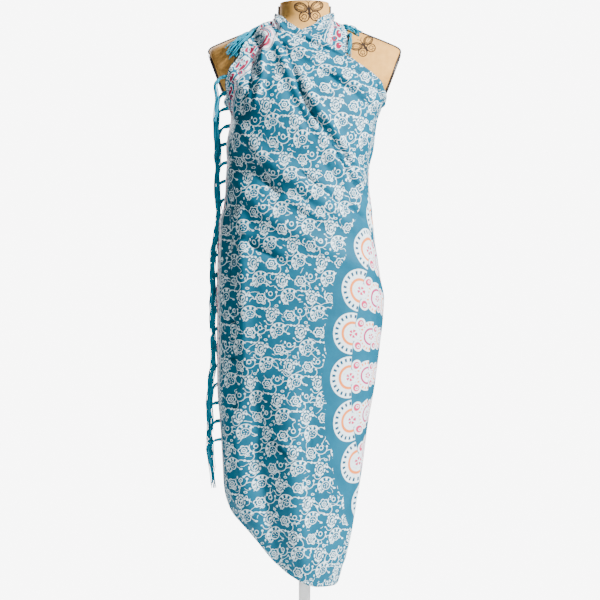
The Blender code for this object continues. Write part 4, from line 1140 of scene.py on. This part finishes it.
def noise(tree, place, scale, detail=2.0, rough=0.5):
    """Adds an uneven pattern."""
    node = tree.nodes.new("ShaderNodeTexNoise")
    node.inputs["Scale"].default_value = scale
    node.inputs["Detail"].default_value = detail
    node.inputs["Roughness"].default_value = rough
    tree.links.new(place, node.inputs["Vector"])
    return Wire(tree, node.outputs["Fac"])


def use(tree, group, links):
    """Places a node group in a tree and joins its inputs."""
    node = tree.nodes.new("ShaderNodeGroup")
    node.node_tree = group
    for name, value in links.items():
        if isinstance(value, Wire):
            value = value.socket
        if isinstance(value, bpy.types.NodeSocket):
            tree.links.new(value, node.inputs[name])
        else:
            node.inputs[name].default_value = value
    return node.outputs


# Colours of the dyes, the yarn and the linen
GROUND = (0.000, 0.116, 0.196)
GROUND_DEEP = (0.000, 0.074, 0.130)
BARE_CLOTH = (0.76, 0.91, 0.97)
CRIMSON = (0.34, 0.000, 0.040)
PINK = (0.60, 0.015, 0.10)
MAGENTA = (0.45, 0.004, 0.11)
ORANGE = (0.85, 0.20, 0.02)
INK = (0.004, 0.055, 0.11)
YARN = (0.000, 0.150, 0.245)
YARN_LIGHT = (0.000, 0.270, 0.400)
LINEN = (0.62, 0.33, 0.085)
LINEN_DARK = (0.50, 0.25, 0.060)
INK_LINE = (0.020, 0.012, 0.008)
PIPING_DARK = (0.006, 0.005, 0.006)
PIPING_PALE = (0.022, 0.018, 0.018)
LACQUER_DULL = (0.80, 0.80, 0.79)
LACQUER_BRIGHT = (0.88, 0.88, 0.87)

# The print: the flowers repeat along these two steps of the flat cloth
STEP_DOWN = (-0.0190, -0.0730)
STEP_ACROSS = (0.0600, -0.0320)
OUTER_RING = (0.380, 0.480)
FANS = 32


# Stems of the flowered field: place in the repeat, radius, half width, then the side that is kept
# as two slopes, a limit and a softness, then each bud's place, two squeezes, size and, for a ring,
# half width
STEMS = (
    (0.0175, 0.0060, 0.0085, 0.00058, (1.0, -0.5, 0.004, 0.001),
     ((0.0065, 0.0075, 1.0, 1.0, 0.0022, None), (0.0020, -0.0105, 1.0, 1.6, 0.0030, None))),
    (0.0215, -0.0290, 0.0120, 0.00060, (0.0, 1.0, 0.003, 0.001),
     ((-0.0080, 0.0060, 1.8, 1.0, 0.0030, None), (0.0115, 0.0050, 1.0, 1.0, 0.0022, None),
      (0.0, 0.001, 1.1, 1.0, 0.0042, 0.00075))),
    (-0.0195, -0.0090, 0.0105, 0.00058, (-0.6, -1.0, 0.003, 0.001),
     ((0.0, -0.003, 1.7, 1.0, 0.0026, None), (0.0040, 0.0080, 1.0, 1.0, 0.0019, None),
      (-0.0065, -0.0110, 1.0, 1.4, 0.0028, 0.00075))),
    (-0.0040, 0.0260, 0.0130, 0.00058, (0.7, -1.0, -0.001, 0.001),
     ((-0.0105, 0.0085, 1.0, 1.0, 0.0021, None), (0.0020, 0.0125, 1.0, 1.0, 0.0026, None),
      (0.0, 0.0165, 1.5, 1.0, 0.0030, 0.0007))),
    (0.0300, 0.0230, 0.0100, 0.00058, (-1.2, 1.0, 0.001, 0.001),
     ((0.0075, 0.0065, 1.0, 1.0, 0.0019, None), (0.0010, -0.0100, 1.0, 1.5, 0.0028, None),
      (-0.0030, 0.0030, 1.0, 1.0, 0.0032, 0.0007))),
    (0.0400, -0.0130, 0.0070, 0.00056, (-0.4, 1.0, 0.002, 0.001),
     ((0.0, 0.0030, 1.0, 1.5, 0.0022, None), (-0.0095, 0.0, 1.0, 1.0, 0.0015, None))),
)


def repeat_group():
    """Repeats a place along the print's two steps, each copy about its own middle."""
    tree, given, taken = group_tree("repeat along the print", (
        ("Place", "NodeSocketVector", None), ("Shift", "NodeSocketVector", None)),
        (("Place", "NodeSocketVector"),))
    shift = tree.nodes.new("ShaderNodeVectorMath")
    shift.operation = "SUBTRACT"
    tree.links.new(given["Place"], shift.inputs[0])
    tree.links.new(given["Shift"], shift.inputs[1])
    x, y = apart(tree, shift.outputs[0])
    across, down = STEP_ACROSS, STEP_DOWN
    area = across[0] * down[1] - across[1] * down[0]
    a = (x * (down[1] / area) - y * (down[0] / area)).made("ADD", 0.5).made("FRACT") - 0.5
    b = (y * (across[0] / area) - x * (across[1] / area)).made("ADD", 0.5).made("FRACT") - 0.5
    here_x = a * across[0] + b * down[0]
    here_y = a * across[1] + b * down[1]
    tree.links.new(joined(tree, here_x, here_y), taken.inputs[0])
    return tree


def flower_group():
    """Draws the small flowers, buds and stems of the field in bare cloth."""
    tree, given, taken = group_tree("flowered field", (("Place", "NodeSocketVector", None),),
                                    (("White", "NodeSocketFloat"),))
    repeat = repeat_group()

    def cell(across, up):
        node = use(tree, repeat, {"Place": given["Place"], "Shift": (across, up, 0.0)})
        return apart(tree, node["Place"])

    x, y = cell(0.0014, -0.0390)
    out, turn = distance(x, y), turn_about(x, y)
    petal = (turn * 3.0).made("COSINE").made("ABSOLUTE") * 0.0026
    rose = (out - petal).near(0.0080, 0.0009)
    rose = larger(rose, out.near(0.0044, 0.0008), out.below(0.0014))
    x, y = cell(0.0435, 0.0010)
    x, y = x * 0.74, y * 0.74
    oval = distance(x * 1.35, y)
    turn = turn_about(x * 1.35, y)
    rays = (turn * 9.0).made("SINE").below(0.50, 0.6)
    egg = larger(oval.near(0.0098, 0.0014) * rays, oval.near(0.0055, 0.0006), oval.below(0.0013))
    x, y = cell(0.0, 0.0)
    x, y = x * 0.80, y * 0.80
    out, turn = distance(x, y), turn_about(x, y)
    comb_turn = turn_about(x - y * 0.35, y + x * 0.35)
    comb = (comb_turn * 9.0).made("SINE").below(-0.25, 0.5) * out.near(0.0108, 0.0024)
    left = (x * 0.8 - y * 0.6).below(0.0035, 0.002)
    crest = larger(comb * left, out.near(0.0136, 0.0006) * left, out.near(0.0066, 0.0006),
                   (turn * 2.5 + 0.8).made("COSINE").near(0.0, 0.45, 0.3) * out.near(0.0030, 0.0010))
    stems = None
    for across, up, radius, half, cut, buds in STEMS:
        x, y = cell(across, up)
        along_x, along_y, limit, soft = cut
        stem = (distance(x, y) - radius).near(0.0, half) * (x * along_x + y * along_y).below(limit, soft)
        stems = larger(stems, stem) if stems else stem
        for bud_x, bud_y, wide, high, size, line in buds:
            bud = distance((x - bud_x) * wide, (y - bud_y) * high)
            stems = larger(stems, bud.near(size, line) if line else bud.below(size))
    warp = noise(tree, given["Place"], 62.0, 0.5)
    curls = (warp * 3.2).made("FRACT").near(0.5, 0.050, 0.05)
    sparse = noise(tree, given["Place"], 31.0, 0.0).near(0.5, 0.060, 0.02)
    busy = larger(rose, egg, crest, stems)
    white = larger(busy, curls * sparse)
    tree.links.new(white.socket, taken.inputs["White"])
    return tree


def fan_group():
    """Draws one fan of the medallion with the drops that follow it, pointing out along x.

    Place is in metres from the fan's flat side, and Size is the fan's half width.
    """
    tree, given, taken = group_tree("fan with drops", (
        ("Place", "NodeSocketVector", None), ("Size", "NodeSocketFloat", 0.042),
        ("Dash", "NodeSocketColor", (*INK, 1.0)), ("Arc", "NodeSocketColor", (*ORANGE, 1.0))),
        (("Color", "NodeSocketColor"), ("White", "NodeSocketFloat")))
    x, y = apart(tree, given["Place"])
    size = Wire(tree, given["Size"])
    u, v = x / size, (y / size).made("ABSOLUTE")
    up = y / size
    soft = 0.03
    wide = u * 1.10
    out = distance(wide, v)
    turn = turn_about(wide, up)
    front = (u * -1.0).below(0.06, soft)
    fan = out.below(1.0, soft) * front
    rim = out.near(0.830, 0.085, soft) * (turn * 22.0).made("COSINE").below(-0.15, 0.5) * front
    arc = out.near(0.520, 0.066, soft) * front
    core = distance(u + 0.02, v)
    dots = (core * 24.0).made("COSINE").below(0.05, 0.5) * (turn * 5.0).made("COSINE").below(0.45, 0.6)
    core = dots * core.below(0.33, soft)
    inner = distance(u + 0.02, v).below(0.37, soft)
    drop_x, drop_y = u + 0.31, v - 0.56
    drop = distance(drop_x * 1.15 + drop_y * 0.35, drop_y * 0.95 - drop_x * 0.30)
    drops = drop.below(0.285, soft)
    drop_core = drop.below(0.185, soft)
    spot = distance(drop_x + 0.03, drop_y - 0.03).near(0.06, 0.022, soft)
    behind = u.below(-0.04, soft)
    white = larger(fan, drops, inner)
    tint = blended(tree, rim, BARE_CLOTH, given["Dash"])
    tint = blended(tree, arc, tint, given["Arc"])
    tint = blended(tree, core, tint, PINK)
    tint = blended(tree, drop.near(0.285, 0.018, soft) * fan, tint, GROUND)
    tint = blended(tree, drop_core * behind, tint, PINK)
    tint = blended(tree, spot * behind, tint, BARE_CLOTH)
    tree.links.new(tint, taken.inputs["Color"])
    tree.links.new(white.socket, taken.inputs["White"])
    return tree


def medallion_group():
    """Draws the round medallion: spokes of fans, one inside another, on a plain ground."""
    tree, given, taken = group_tree("medallion", (("Place", "NodeSocketVector", None),), (
        ("Color", "NodeSocketColor"), ("White", "NodeSocketFloat"), ("Plain", "NodeSocketFloat")))
    x, y = apart(tree, given["Place"])
    out = distance(x / OUTER_RING[0], y / OUTER_RING[1])
    turn = turn_about(x / OUTER_RING[0], y / OUTER_RING[1])
    part = (turn * (FANS / (2 * math.pi))).made("FRACT") - 0.5
    fan = fan_group()
    wide = 2 * math.pi * OUTER_RING[1] / FANS
    color, white = None, None
    for ring, size, dash, arc in ((0.985, 0.0445, INK, ORANGE), (0.875, 0.0335, ORANGE, MAGENTA),
                                  (0.790, 0.0265, PINK, ORANGE), (0.720, 0.0220, INK, CRIMSON),
                                  (0.658, 0.0195, ORANGE, MAGENTA), (0.602, 0.0175, INK, ORANGE),
                                  (0.550, 0.0155, PINK, MAGENTA), (0.500, 0.0140, INK, ORANGE)):
        place = joined(tree, (out - ring) * OUTER_RING[0] + 0.006, part * (wide * (0.35 + 0.65 * ring)))
        node = use(tree, fan, {"Place": place, "Size": size, "Dash": (*dash, 1.0), "Arc": (*arc, 1.0)})
        cover = Wire(tree, node["White"])
        shown = cover * (white * -1.0 + 1.0) if white else cover
        color = blended(tree, shown, color if color else GROUND, node["Color"])
        white = larger(white, cover) if white else cover
    petals = (turn * 8.0).made("COSINE") * 0.035
    rosette = larger((out - petals).near(0.375, 0.014, 0.01), (out + petals).near(0.300, 0.020, 0.01),
                     out.near(0.235, 0.007, 0.006), (out - petals).below(0.15, 0.01),
                     (turn * 24.0).made("COSINE").below(0.0, 0.5) * out.near(0.205, 0.014, 0.01))
    color = blended(tree, rosette, color, BARE_CLOTH)
    color = blended(tree, (out - petals).below(0.115, 0.01), color, PINK)
    color = blended(tree, out.near(0.262, 0.012, 0.006), color, ORANGE)
    color = blended(tree, out.below(0.05, 0.006), color, BARE_CLOTH)
    white = larger(white, rosette)
    scallop = (turn * (FANS * 0.5)).made("SINE").made("ABSOLUTE") * 0.022
    plain = (out + scallop * -1.0).below(1.100, 0.004)
    tree.links.new(color, taken.inputs["Color"])
    tree.links.new(white.socket, taken.inputs["White"])
    tree.links.new(plain.socket, taken.inputs["Plain"])
    return tree


def border_group():
    """Draws the border along a fringed end, from the distance across it and along it."""
    tree, given, taken = group_tree("border of the fringed end", (("Place", "NodeSocketVector", None),), (
        ("Color", "NodeSocketColor"), ("Border", "NodeSocketFloat")))
    across, along = apart(tree, given["Place"])
    long = 0.034
    part = (along / long).made("FRACT") * long - long / 2
    low = across - 0.0195
    bend = part + low * 0.55
    body = distance(low * 1.60, bend * 0.74)
    halo = body.near(0.0098, 0.0011)
    drop = body.below(0.0080)
    eye = distance(low + 0.0022, part + 0.003).below(0.0022)
    hook = distance(low - 0.0080, part - 0.0115)
    halo = larger(halo, hook.near(0.0064, 0.0008))
    drop = larger(drop, hook.near(0.0040, 0.0013))
    small = 0.0135
    shell = (along / small).made("FRACT") * small - small / 2
    scale = distance(across - 0.0335, shell)
    scales = scale.below(0.0080) * (across * -1.0).below(-0.0320)
    lines = larger(scale.near(0.0062, 0.0006), scale.below(0.0018)) * (across * -1.0).below(-0.0320)
    beads = distance(across - 0.0040, (along / 0.0075).made("FRACT") * 0.0075 - 0.00375).below(0.0026)
    edge = larger(across.near(0.0445, 0.0008), across.near(0.0318, 0.0007))
    teeth = distance(across - 0.0085, (along / 0.0110).made("FRACT") * 0.0110 - 0.0055).near(0.0032, 0.0009)
    color = blended(tree, larger(halo, scales, beads, edge, teeth), GROUND, BARE_CLOTH)
    color = blended(tree, drop, color, CRIMSON)
    color = blended(tree, eye, color, BARE_CLOTH)
    color = blended(tree, lines, color, PINK)
    tree.links.new(color, taken.inputs["Color"])
    tree.links.new(across.below(0.0455).socket, taken.inputs["Border"])
    return tree


def weave_group():
    """Gives the height of plain woven threads, from a flat place in metres."""
    tree, given, taken = group_tree("woven threads", (
        ("Place", "NodeSocketVector", None), ("Thread", "NodeSocketFloat", 0.0004)),
        (("Height", "NodeSocketFloat"),))
    x, y = apart(tree, given["Place"])
    thread = Wire(tree, given["Thread"])
    a = (x / thread * math.pi).made("SINE")
    b = (y / thread * math.pi).made("SINE")
    slub = noise(tree, given["Place"], 900.0, 1.0)
    height = (a * b).made("MULTIPLY", 0.35) + (a.made("ABSOLUTE") + b.made("ABSOLUTE")) * 0.25 + slub * 0.3
    tree.links.new(height.socket, taken.inputs["Height"])
    return tree


WEAVE = weave_group()


def material_start(name, rough):
    """Starts a material with its shader."""
    material = bpy.data.materials.new(name)
    material.use_nodes = True
    tree = material.node_tree
    shader = tree.nodes["Principled BSDF"]
    shader.inputs["Roughness"].default_value = rough
    return material, tree, shader


def add_bump(tree, shader, height, strength, depth):
    """Raises the surface by a height between 0 and 1."""
    bump = tree.nodes.new("ShaderNodeBump")
    bump.inputs["Strength"].default_value = strength
    bump.inputs["Distance"].default_value = depth
    tree.links.new(height.socket, bump.inputs["Height"])
    tree.links.new(bump.outputs["Normal"], shader.inputs["Normal"])


def object_place(tree):
    """Gives a place on the piece, in metres."""
    return tree.nodes.new("ShaderNodeTexCoord").outputs["Object"]


def map_place(tree, name):
    """Gives a place on one of the piece's flat maps."""
    node = tree.nodes.new("ShaderNodeUVMap")
    node.uv_map = name
    return node.outputs["UV"]


def centred(tree, place, middle):
    """Gives a flat place from a middle."""
    node = tree.nodes.new("ShaderNodeMapping")
    node.vector_type = "TEXTURE"
    node.inputs["Location"].default_value = (*middle, 0.0)
    tree.links.new(place, node.inputs["Vector"])
    return node.outputs["Vector"]


MEDALLION_PLACE = (0.247, 0.765)


def batik_material():
    """Makes the dyed and printed rayon of the sarong."""
    material, tree, shader = material_start("batik rayon", 0.62)
    cloth = map_place(tree, "cloth")
    field = use(tree, flower_group(), {"Place": cloth})
    round_print = use(tree, medallion_group(), {"Place": centred(tree, cloth, MEDALLION_PLACE)})
    border = use(tree, border_group(), {"Place": map_place(tree, "end")})
    fade = noise(tree, cloth, 22.0, 3.0)
    ground = blended(tree, fade.made("MULTIPLY_ADD", 1.6, -0.3, clamp=True), GROUND, GROUND_DEEP)
    plain = Wire(tree, round_print["Plain"])
    white = Wire(tree, field["White"])
    color = blended(tree, white * (plain * -1.0 + 1.0), ground, BARE_CLOTH)
    color = blended(tree, Wire(tree, round_print["White"]) * plain, color, round_print["Color"])
    color = blended(tree, Wire(tree, border["Border"]), color, border["Color"])
    speck = noise(tree, cloth, 420.0, 1.0)
    dusted = blended(tree, speck.made("MULTIPLY_ADD", 0.5, -0.12, clamp=True), color, GROUND_DEEP)
    tree.links.new(dusted, shader.inputs["Base Color"])
    shader.inputs["Specular IOR Level"].default_value = 0.18
    threads = Wire(tree, use(tree, WEAVE, {"Place": cloth, "Thread": 0.0005})["Height"])
    crumple = noise(tree, cloth, 55.0, 3.0, 0.55)
    add_bump(tree, shader, threads * 0.10 + crumple * 0.9, 0.55, 0.0024)
    return material


def yarn_material():
    """Makes the twisted yarn of the fringe."""
    material, tree, shader = material_start("fringe yarn", 0.7)
    place = object_place(tree)
    tone = noise(tree, place, 160.0, 2.0)
    color = blended(tree, tone.made("MULTIPLY_ADD", 2.0, -0.5, clamp=True), YARN, YARN_LIGHT)
    tree.links.new(color, shader.inputs["Base Color"])
    shader.inputs["Specular IOR Level"].default_value = 0.25
    ply = noise(tree, place, 1500.0, 2.0)
    add_bump(tree, shader, ply, 0.5, 0.0006)
    return material


def butterfly_group():
    """Draws a moth in thin ink lines, from a place in half spans."""
    tree, given, taken = group_tree("drawn moth", (("Place", "NodeSocketVector", None),),
                                    (("Ink", "NodeSocketFloat"),))
    x, y = apart(tree, given["Place"])
    x = x.made("ABSOLUTE")
    out, turn = distance(x, y), turn_about(x, y)
    upper = distance((x - 0.52) * 2.05 + (y - 0.28) * 0.9, (y - 0.28) * 2.9 - (x - 0.52) * 1.3)
    lower = distance((x - 0.36) * 2.9, (y + 0.34) * 2.9)
    wings = larger(upper.below(1.0, 0.06), lower.below(1.0, 0.06))
    veins = (turn * 12.0).made("SINE").near(0.0, 0.30, 0.2) * wings * (out * -1.0).below(-0.22, 0.04)
    rings = larger(upper.near(0.95, 0.09, 0.06), lower.near(0.92, 0.10, 0.06), lower.near(0.45, 0.07, 0.05),
                   upper.near(0.60, 0.06, 0.05), upper.near(0.78, 0.05, 0.05))
    body = distance(x * 11.0, y * 2.3 + 0.05).below(1.0, 0.12)
    feelers = (distance(x - 0.30, y - 0.42).near(0.30, 0.018, 0.02)) * (x - 0.20).below(0.0, 0.02) * \
        (y * -1.0).below(-0.40, 0.02)
    ink = larger(veins, rings, body, feelers).made("MULTIPLY", 1.25, clamp=True)
    tree.links.new(ink.socket, taken.inputs["Ink"])
    return tree


# Moths on the linen: across, height, half span, turn
MOTHS = ((0.0100, 1.4960, 0.0330, 0.10), (0.1270, 1.4200, 0.0290, 0.55), (-0.1180, 1.3800, 0.0300, -0.30),
         (0.0300, 1.3700, 0.0290, 0.20))


def linen_material():
    """Makes the drawn-on linen of the dress form."""
    material, tree, shader = material_start("drawn linen", 0.85)
    shader.inputs["Specular IOR Level"].default_value = 0.2
    place = object_place(tree)
    node = tree.nodes.new("ShaderNodeSeparateXYZ")
    tree.links.new(place, node.inputs[0])
    x, z = Wire(tree, node.outputs[0]), Wire(tree, node.outputs[2])
    moth = butterfly_group()
    ink = None
    for across, height, size, turn in MOTHS:
        dx, dz = (x - across) * (1 / size), (z - height) * (1 / size)
        wide, high = math.cos(turn), math.sin(turn)
        turned = joined(tree, dx * wide + dz * high, dz * wide - dx * high)
        mark = Wire(tree, use(tree, moth, {"Place": turned})["Ink"])
        ink = larger(ink, mark) if ink else mark
    flat = joined(tree, x, z)
    slub = noise(tree, flat, 70.0, 4.0, 0.6)
    color = blended(tree, slub.made("MULTIPLY_ADD", 2.2, -0.7, clamp=True), LINEN, LINEN_DARK)
    faint = noise(tree, place, 300.0, 1.0).made("MULTIPLY_ADD", 0.6, 0.75, clamp=True)
    color = blended(tree, ink * faint, color, INK_LINE)
    tree.links.new(color, shader.inputs["Base Color"])
    threads = Wire(tree, use(tree, WEAVE, {"Place": flat, "Thread": 0.0009})["Height"])
    add_bump(tree, shader, threads, 0.5, 0.0005)
    return material


def piping_material():
    """Makes the black corded piping."""
    material, tree, shader = material_start("black piping", 0.5)
    place = object_place(tree)
    tone = noise(tree, place, 240.0, 2.0)
    tree.links.new(blended(tree, tone, PIPING_DARK, PIPING_PALE), shader.inputs["Base Color"])
    add_bump(tree, shader, noise(tree, place, 1100.0, 1.0), 0.4, 0.0004)
    return material


def lacquer_material():
    """Makes the white lacquer of the pole and the base."""
    material, tree, shader = material_start("white lacquer", 0.3)
    place = object_place(tree)
    tone = noise(tree, place, 18.0, 3.0)
    tree.links.new(blended(tree, tone, LACQUER_DULL, LACQUER_BRIGHT), shader.inputs["Base Color"])
    rough = noise(tree, place, 60.0, 3.0).made("MULTIPLY_ADD", 0.2, 0.2)
    tree.links.new(rough.socket, shader.inputs["Roughness"])
    add_bump(tree, shader, noise(tree, place, 220.0, 1.0), 0.05, 0.0004)
    return material


batik = batik_material()
yarn = yarn_material()
linen = linen_material()
piping = piping_material()
lacquer = lacquer_material()

# Building the pieces

skin = make_skin()
skin_faces = [tuple(face.vertices) for face in skin.data.polygons]
skin_tree = tree_of([tuple(vertex.co) for vertex in skin.data.vertices], skin_faces)
finish_piece(skin, linen, "linen", "form_body")
for name, coat in (("neck_cap", linen), ("arm_plate_left", linen), ("arm_plate_right", linen),
                   ("arm_band_left", piping), ("arm_band_right", piping), ("stand_pole", lacquer),
                   ("stand_base", lacquer)):
    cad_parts[name].data.materials.clear()
    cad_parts[name].data.materials.append(coat)

sarong, front_points, chest_points = make_sarong(skin_tree)
finish_piece(sarong, batik, "batik", "front_wrap", "back_wrap")

chest = small_sheet("second_end", chest_points, end_column=-1, corner=(-0.33, 1.30))
finish_piece(chest, batik, "batik", "under_wrap")

for side in ("left", "right"):
    grid = ease_off(tail_grid(side), skin_tree, CLOTH_CLEARANCE)
    tail = small_sheet("free_corner_" + side, grid, end_row=-1, corner=(-0.55, 1.75))
    finish_piece(tail, batik, "batik", "tail_" + side)

finish_piece(make_tie("neck_tie_left", -97.0, -156.0, 1.4900, 1.4905, 0.0023), batik, "batik", "tie_left")
finish_piece(make_tie("neck_tie_right", 97.0, 156.0, 1.4915, 1.4905, 0.0019), batik, "batik", "tie_right")
finish_piece(make_knot(), batik, "batik", "neck_knot")

# Fringe

draw = random.Random(7)
edge = front_points[:, 0]
edge_lengths = walked(edge)
edge_outs = front_points[:, 0] - front_points[:, 2]
edge_outs /= np.linalg.norm(edge_outs, axis=1)[:, None]


def along_edge(place):
    """Gives the point of the fringed end at a distance along it, and the way out from the cloth."""
    point = np.array([np.interp(place, edge_lengths, edge[:, axis]) for axis in range(3)])
    out = np.array([np.interp(place, edge_lengths, edge_outs[:, axis]) for axis in range(3)])
    return point, out / np.linalg.norm(out)


side_lines = []
place = float(np.interp(-FRINGE_TOP, -edge[:, 2], edge_lengths))
number = 0
while place < FRINGE_END:
    root, out = along_edge(place)
    length = SIDE_FRINGE_LENGTH + SIDE_FRINGE_SPREAD * ((number * 2) % 3 - 1)
    deep = root[1] + SIDE_FRINGE_DEPTH * math.sin(number * 2.4)
    swing = SIDE_FRINGE_SWING * (1 if number % 2 else -1)
    rail = rail_reach(root[2] - 0.012) + swing
    first = root * 0.45 + np.array((rail, deep, root[2] - 0.006)) * 0.55
    path = [root - out * 0.001, first, (rail, deep, root[2] - SIDE_FRINGE_FALL)]
    for share in (0.35, 0.65, 1.0):
        sway = SIDE_FRINGE_SWING * math.sin(number * 1.7 + share * 5)
        height = root[2] - SIDE_FRINGE_FALL - length * share
        path.append((rail_reach(height) + sway + swing, deep + 0.003 * math.sin(number + share * 3), height))
    side_lines += tassel(path, draw)
    place += BUNDLE_SPACING
    number += 1
finish_piece(yarn_piece("side_fringe", side_lines, yarn), yarn, "batik", "fringe_side")


def on_form(degrees, height, lift):
    """Gives a point just clear of the dress form."""
    return on_figure(np.float64(height), np.float64(degrees), lift)


def form_turn(across, height):
    """Finds the angle on the front at which the dress form is this far across."""
    turns = np.linspace(-90, 90, 181)
    return float(np.interp(across, figure_point(np.full(turns.shape, height), turns)[:, 0], turns))


def laid_on_form(places, lift):
    """Gives points just clear of the front of the dress form, from distances across and heights."""
    return [on_form(form_turn(across, height), height, lift) for across, height in places]


# Tassels on the shoulder: how far along the fringed end, then places across and up
SHOULDER_TASSELS = (
    (0.030, ((-0.138, 1.4300), (-0.150, 1.4150), (-0.156, 1.3930))),
    (0.036, ((-0.134, 1.4310), (-0.152, 1.4180), (-0.164, 1.4000))),
    (0.054, ((-0.136, 1.4180), (-0.143, 1.4010), (-0.150, 1.3850))),
)
# Tassels beside the neck: the row of the second end, then places across and up
NECK_TASSELS = (
    (14, ((0.092, 1.4610), (0.106, 1.4560), (0.119, 1.4470))),
    (20, ((0.090, 1.4560), (0.104, 1.4510), (0.116, 1.4420))),
    (30, ((0.094, 1.4420), (0.095, 1.4180), (0.092, 1.3930))),
)

shoulder_lines = []
for start, places in SHOULDER_TASSELS:
    path = [along_edge(start)[0], *laid_on_form(places, SHOULDER_FRINGE_LIFT)]
    shoulder_lines += tassel(path, draw, splay=2.8, knot_at=0.34)
finish_piece(yarn_piece("shoulder_fringe", shoulder_lines, yarn), yarn, "batik", "fringe_shoulder")

neck_lines = []
chest_edge = chest_points[:, -1]
for row, places in NECK_TASSELS:
    path = [chest_edge[row], *laid_on_form(places, NECK_FRINGE_LIFT)]
    neck_lines += tassel(path, draw, width=0.0030, yarns=8, knot_at=0.30)
finish_piece(yarn_piece("neck_fringe", neck_lines, yarn), yarn, "batik", "fringe_neck")

for side in ("left", "right"):
    grid = tail_grid(side)
    lines = []
    for column in (2, 6, 10, 14):
        root = grid[-1, column]
        path = [root + np.array((0, 0.001, 0))]
        for share in (0.3, 0.65, 1.0):
            sway = 0.0006 * math.sin(column + share * 4)
            path.append(root + np.array((sway, 0.002 * share, -CORNER_FRINGE_LENGTH * share)))
        lines += tassel(path, draw, width=0.0021, yarns=6, knot_at=0.22)
    finish_piece(yarn_piece("corner_fringe_" + side, lines, yarn), yarn, "batik", "fringe_tail_" + side)

# Piping along the shoulders and the sides of the neck

pipes = []
for side in (-1, 1):
    heights = np.concatenate((np.linspace(1.513, 1.478, 8), np.linspace(1.476, 1.408, 26)))
    beside = np.full(heights.shape, side * 90.0)
    line = skin_point(heights, beside) + outwards(figure_point, heights, beside) * PIPING_LIFT
    pipes.append((line, PIPING_RADIUS))
    turn = np.linspace(0, 2 * math.pi, 61)[:, None]
    lean = math.atan(PLATE_LEAN)
    middle = np.array((side * PLATE_REACH, 0.002, PLATE_HEIGHT))
    outward = np.array((side * math.cos(lean), 0.0, -math.sin(lean)))
    upward = np.array((side * math.sin(lean), 0.0, math.cos(lean)))
    deep = np.array((0.0, 1.0, 0.0))
    ring = upward * ARM_HALF_HEIGHT * np.sin(turn) + deep * ARM_HALF_DEPTH * np.cos(turn)
    pipes.append((middle + outward * ARM_PIPING_LIFT + ring, PIPING_RADIUS * ARM_PIPING_WIDTH))
finish_piece(yarn_piece("shoulder_piping", pipes, piping, 8), piping, "trim")

# Camera, light and ground

SENSOR_WIDTH = 36.0
CAMERA_DISTANCE = 4.6
FLOOR_RADIUS = 1.4
FLOOR_DULL = (0.86, 0.86, 0.86)
FLOOR_BRIGHT = (0.90, 0.90, 0.90)
SURROUND_LIGHT = 0.11
SURROUND_SEEN = 8.0
VIEW_HEIGHT = 1.29
VIEW_MIDDLE = (-0.0097, 0.8815)


def place_camera():
    """Sets the camera level with the middle of the cloth, square to its front."""
    lens = bpy.data.cameras.new("camera")
    lens.sensor_width = SENSOR_WIDTH
    lens.lens = SENSOR_WIDTH * CAMERA_DISTANCE / VIEW_HEIGHT
    camera = bpy.data.objects.new("camera", lens)
    camera.location = (VIEW_MIDDLE[0], -CAMERA_DISTANCE, VIEW_MIDDLE[1])
    camera.rotation_euler = (math.radians(90), 0.0, 0.0)
    bpy.context.scene.collection.objects.link(camera)
    bpy.context.scene.camera = camera


def place_light(name, place, aim, size, power):
    """Hangs a square soft light that faces a point."""
    lamp = bpy.data.lights.new(name, "AREA")
    lamp.size = size
    lamp.energy = power
    item = bpy.data.objects.new(name, lamp)
    item.location = place
    item.rotation_euler = (Vector(aim) - Vector(place)).to_track_quat("-Z", "Y").to_euler()
    bpy.context.scene.collection.objects.link(item)


def make_ground():
    """Makes the pale round floor that the stand is on."""
    work = bmesh.new()
    bmesh.ops.create_circle(work, cap_ends=True, segments=96, radius=FLOOR_RADIUS)
    mesh = bpy.data.meshes.new("floor")
    work.to_mesh(mesh)
    work.free()
    floor = link("floor", mesh)
    material, tree, shader = material_start("pale floor", 0.9)
    tone = noise(tree, object_place(tree), 3.0, 2.0)
    tree.links.new(blended(tree, tone, FLOOR_DULL, FLOOR_BRIGHT), shader.inputs["Base Color"])
    mesh.materials.append(material)


def make_world():
    """Makes a white surround that lights the cloth only softly."""
    world = bpy.data.worlds.new("studio")
    world.use_nodes = True
    tree = world.node_tree
    soft = tree.nodes["Background"]
    soft.inputs["Strength"].default_value = SURROUND_LIGHT
    soft.inputs["Color"].default_value = (1.0, 1.0, 1.0, 1.0)
    bright = tree.nodes.new("ShaderNodeBackground")
    bright.inputs["Strength"].default_value = SURROUND_SEEN
    bright.inputs["Color"].default_value = (1.0, 1.0, 1.0, 1.0)
    kind = tree.nodes.new("ShaderNodeLightPath")
    mix = tree.nodes.new("ShaderNodeMixShader")
    tree.links.new(kind.outputs["Is Camera Ray"], mix.inputs[0])
    tree.links.new(soft.outputs[0], mix.inputs[1])
    tree.links.new(bright.outputs[0], mix.inputs[2])
    tree.links.new(mix.outputs[0], tree.nodes["World Output"].inputs["Surface"])
    bpy.context.scene.world = world


place_camera()
place_light("key", (3.0, -2.2, 3.0), (0.0, 0.0, 0.95), 0.6, 800.0)
place_light("fill", (-0.9, -4.2, 1.8), (0.0, 0.0, 0.85), 1.2, 52.0)
place_light("back", (-1.6, 3.0, 2.9), (0.0, 0.0, 1.0), 1.0, 420.0)
make_world()
make_ground()
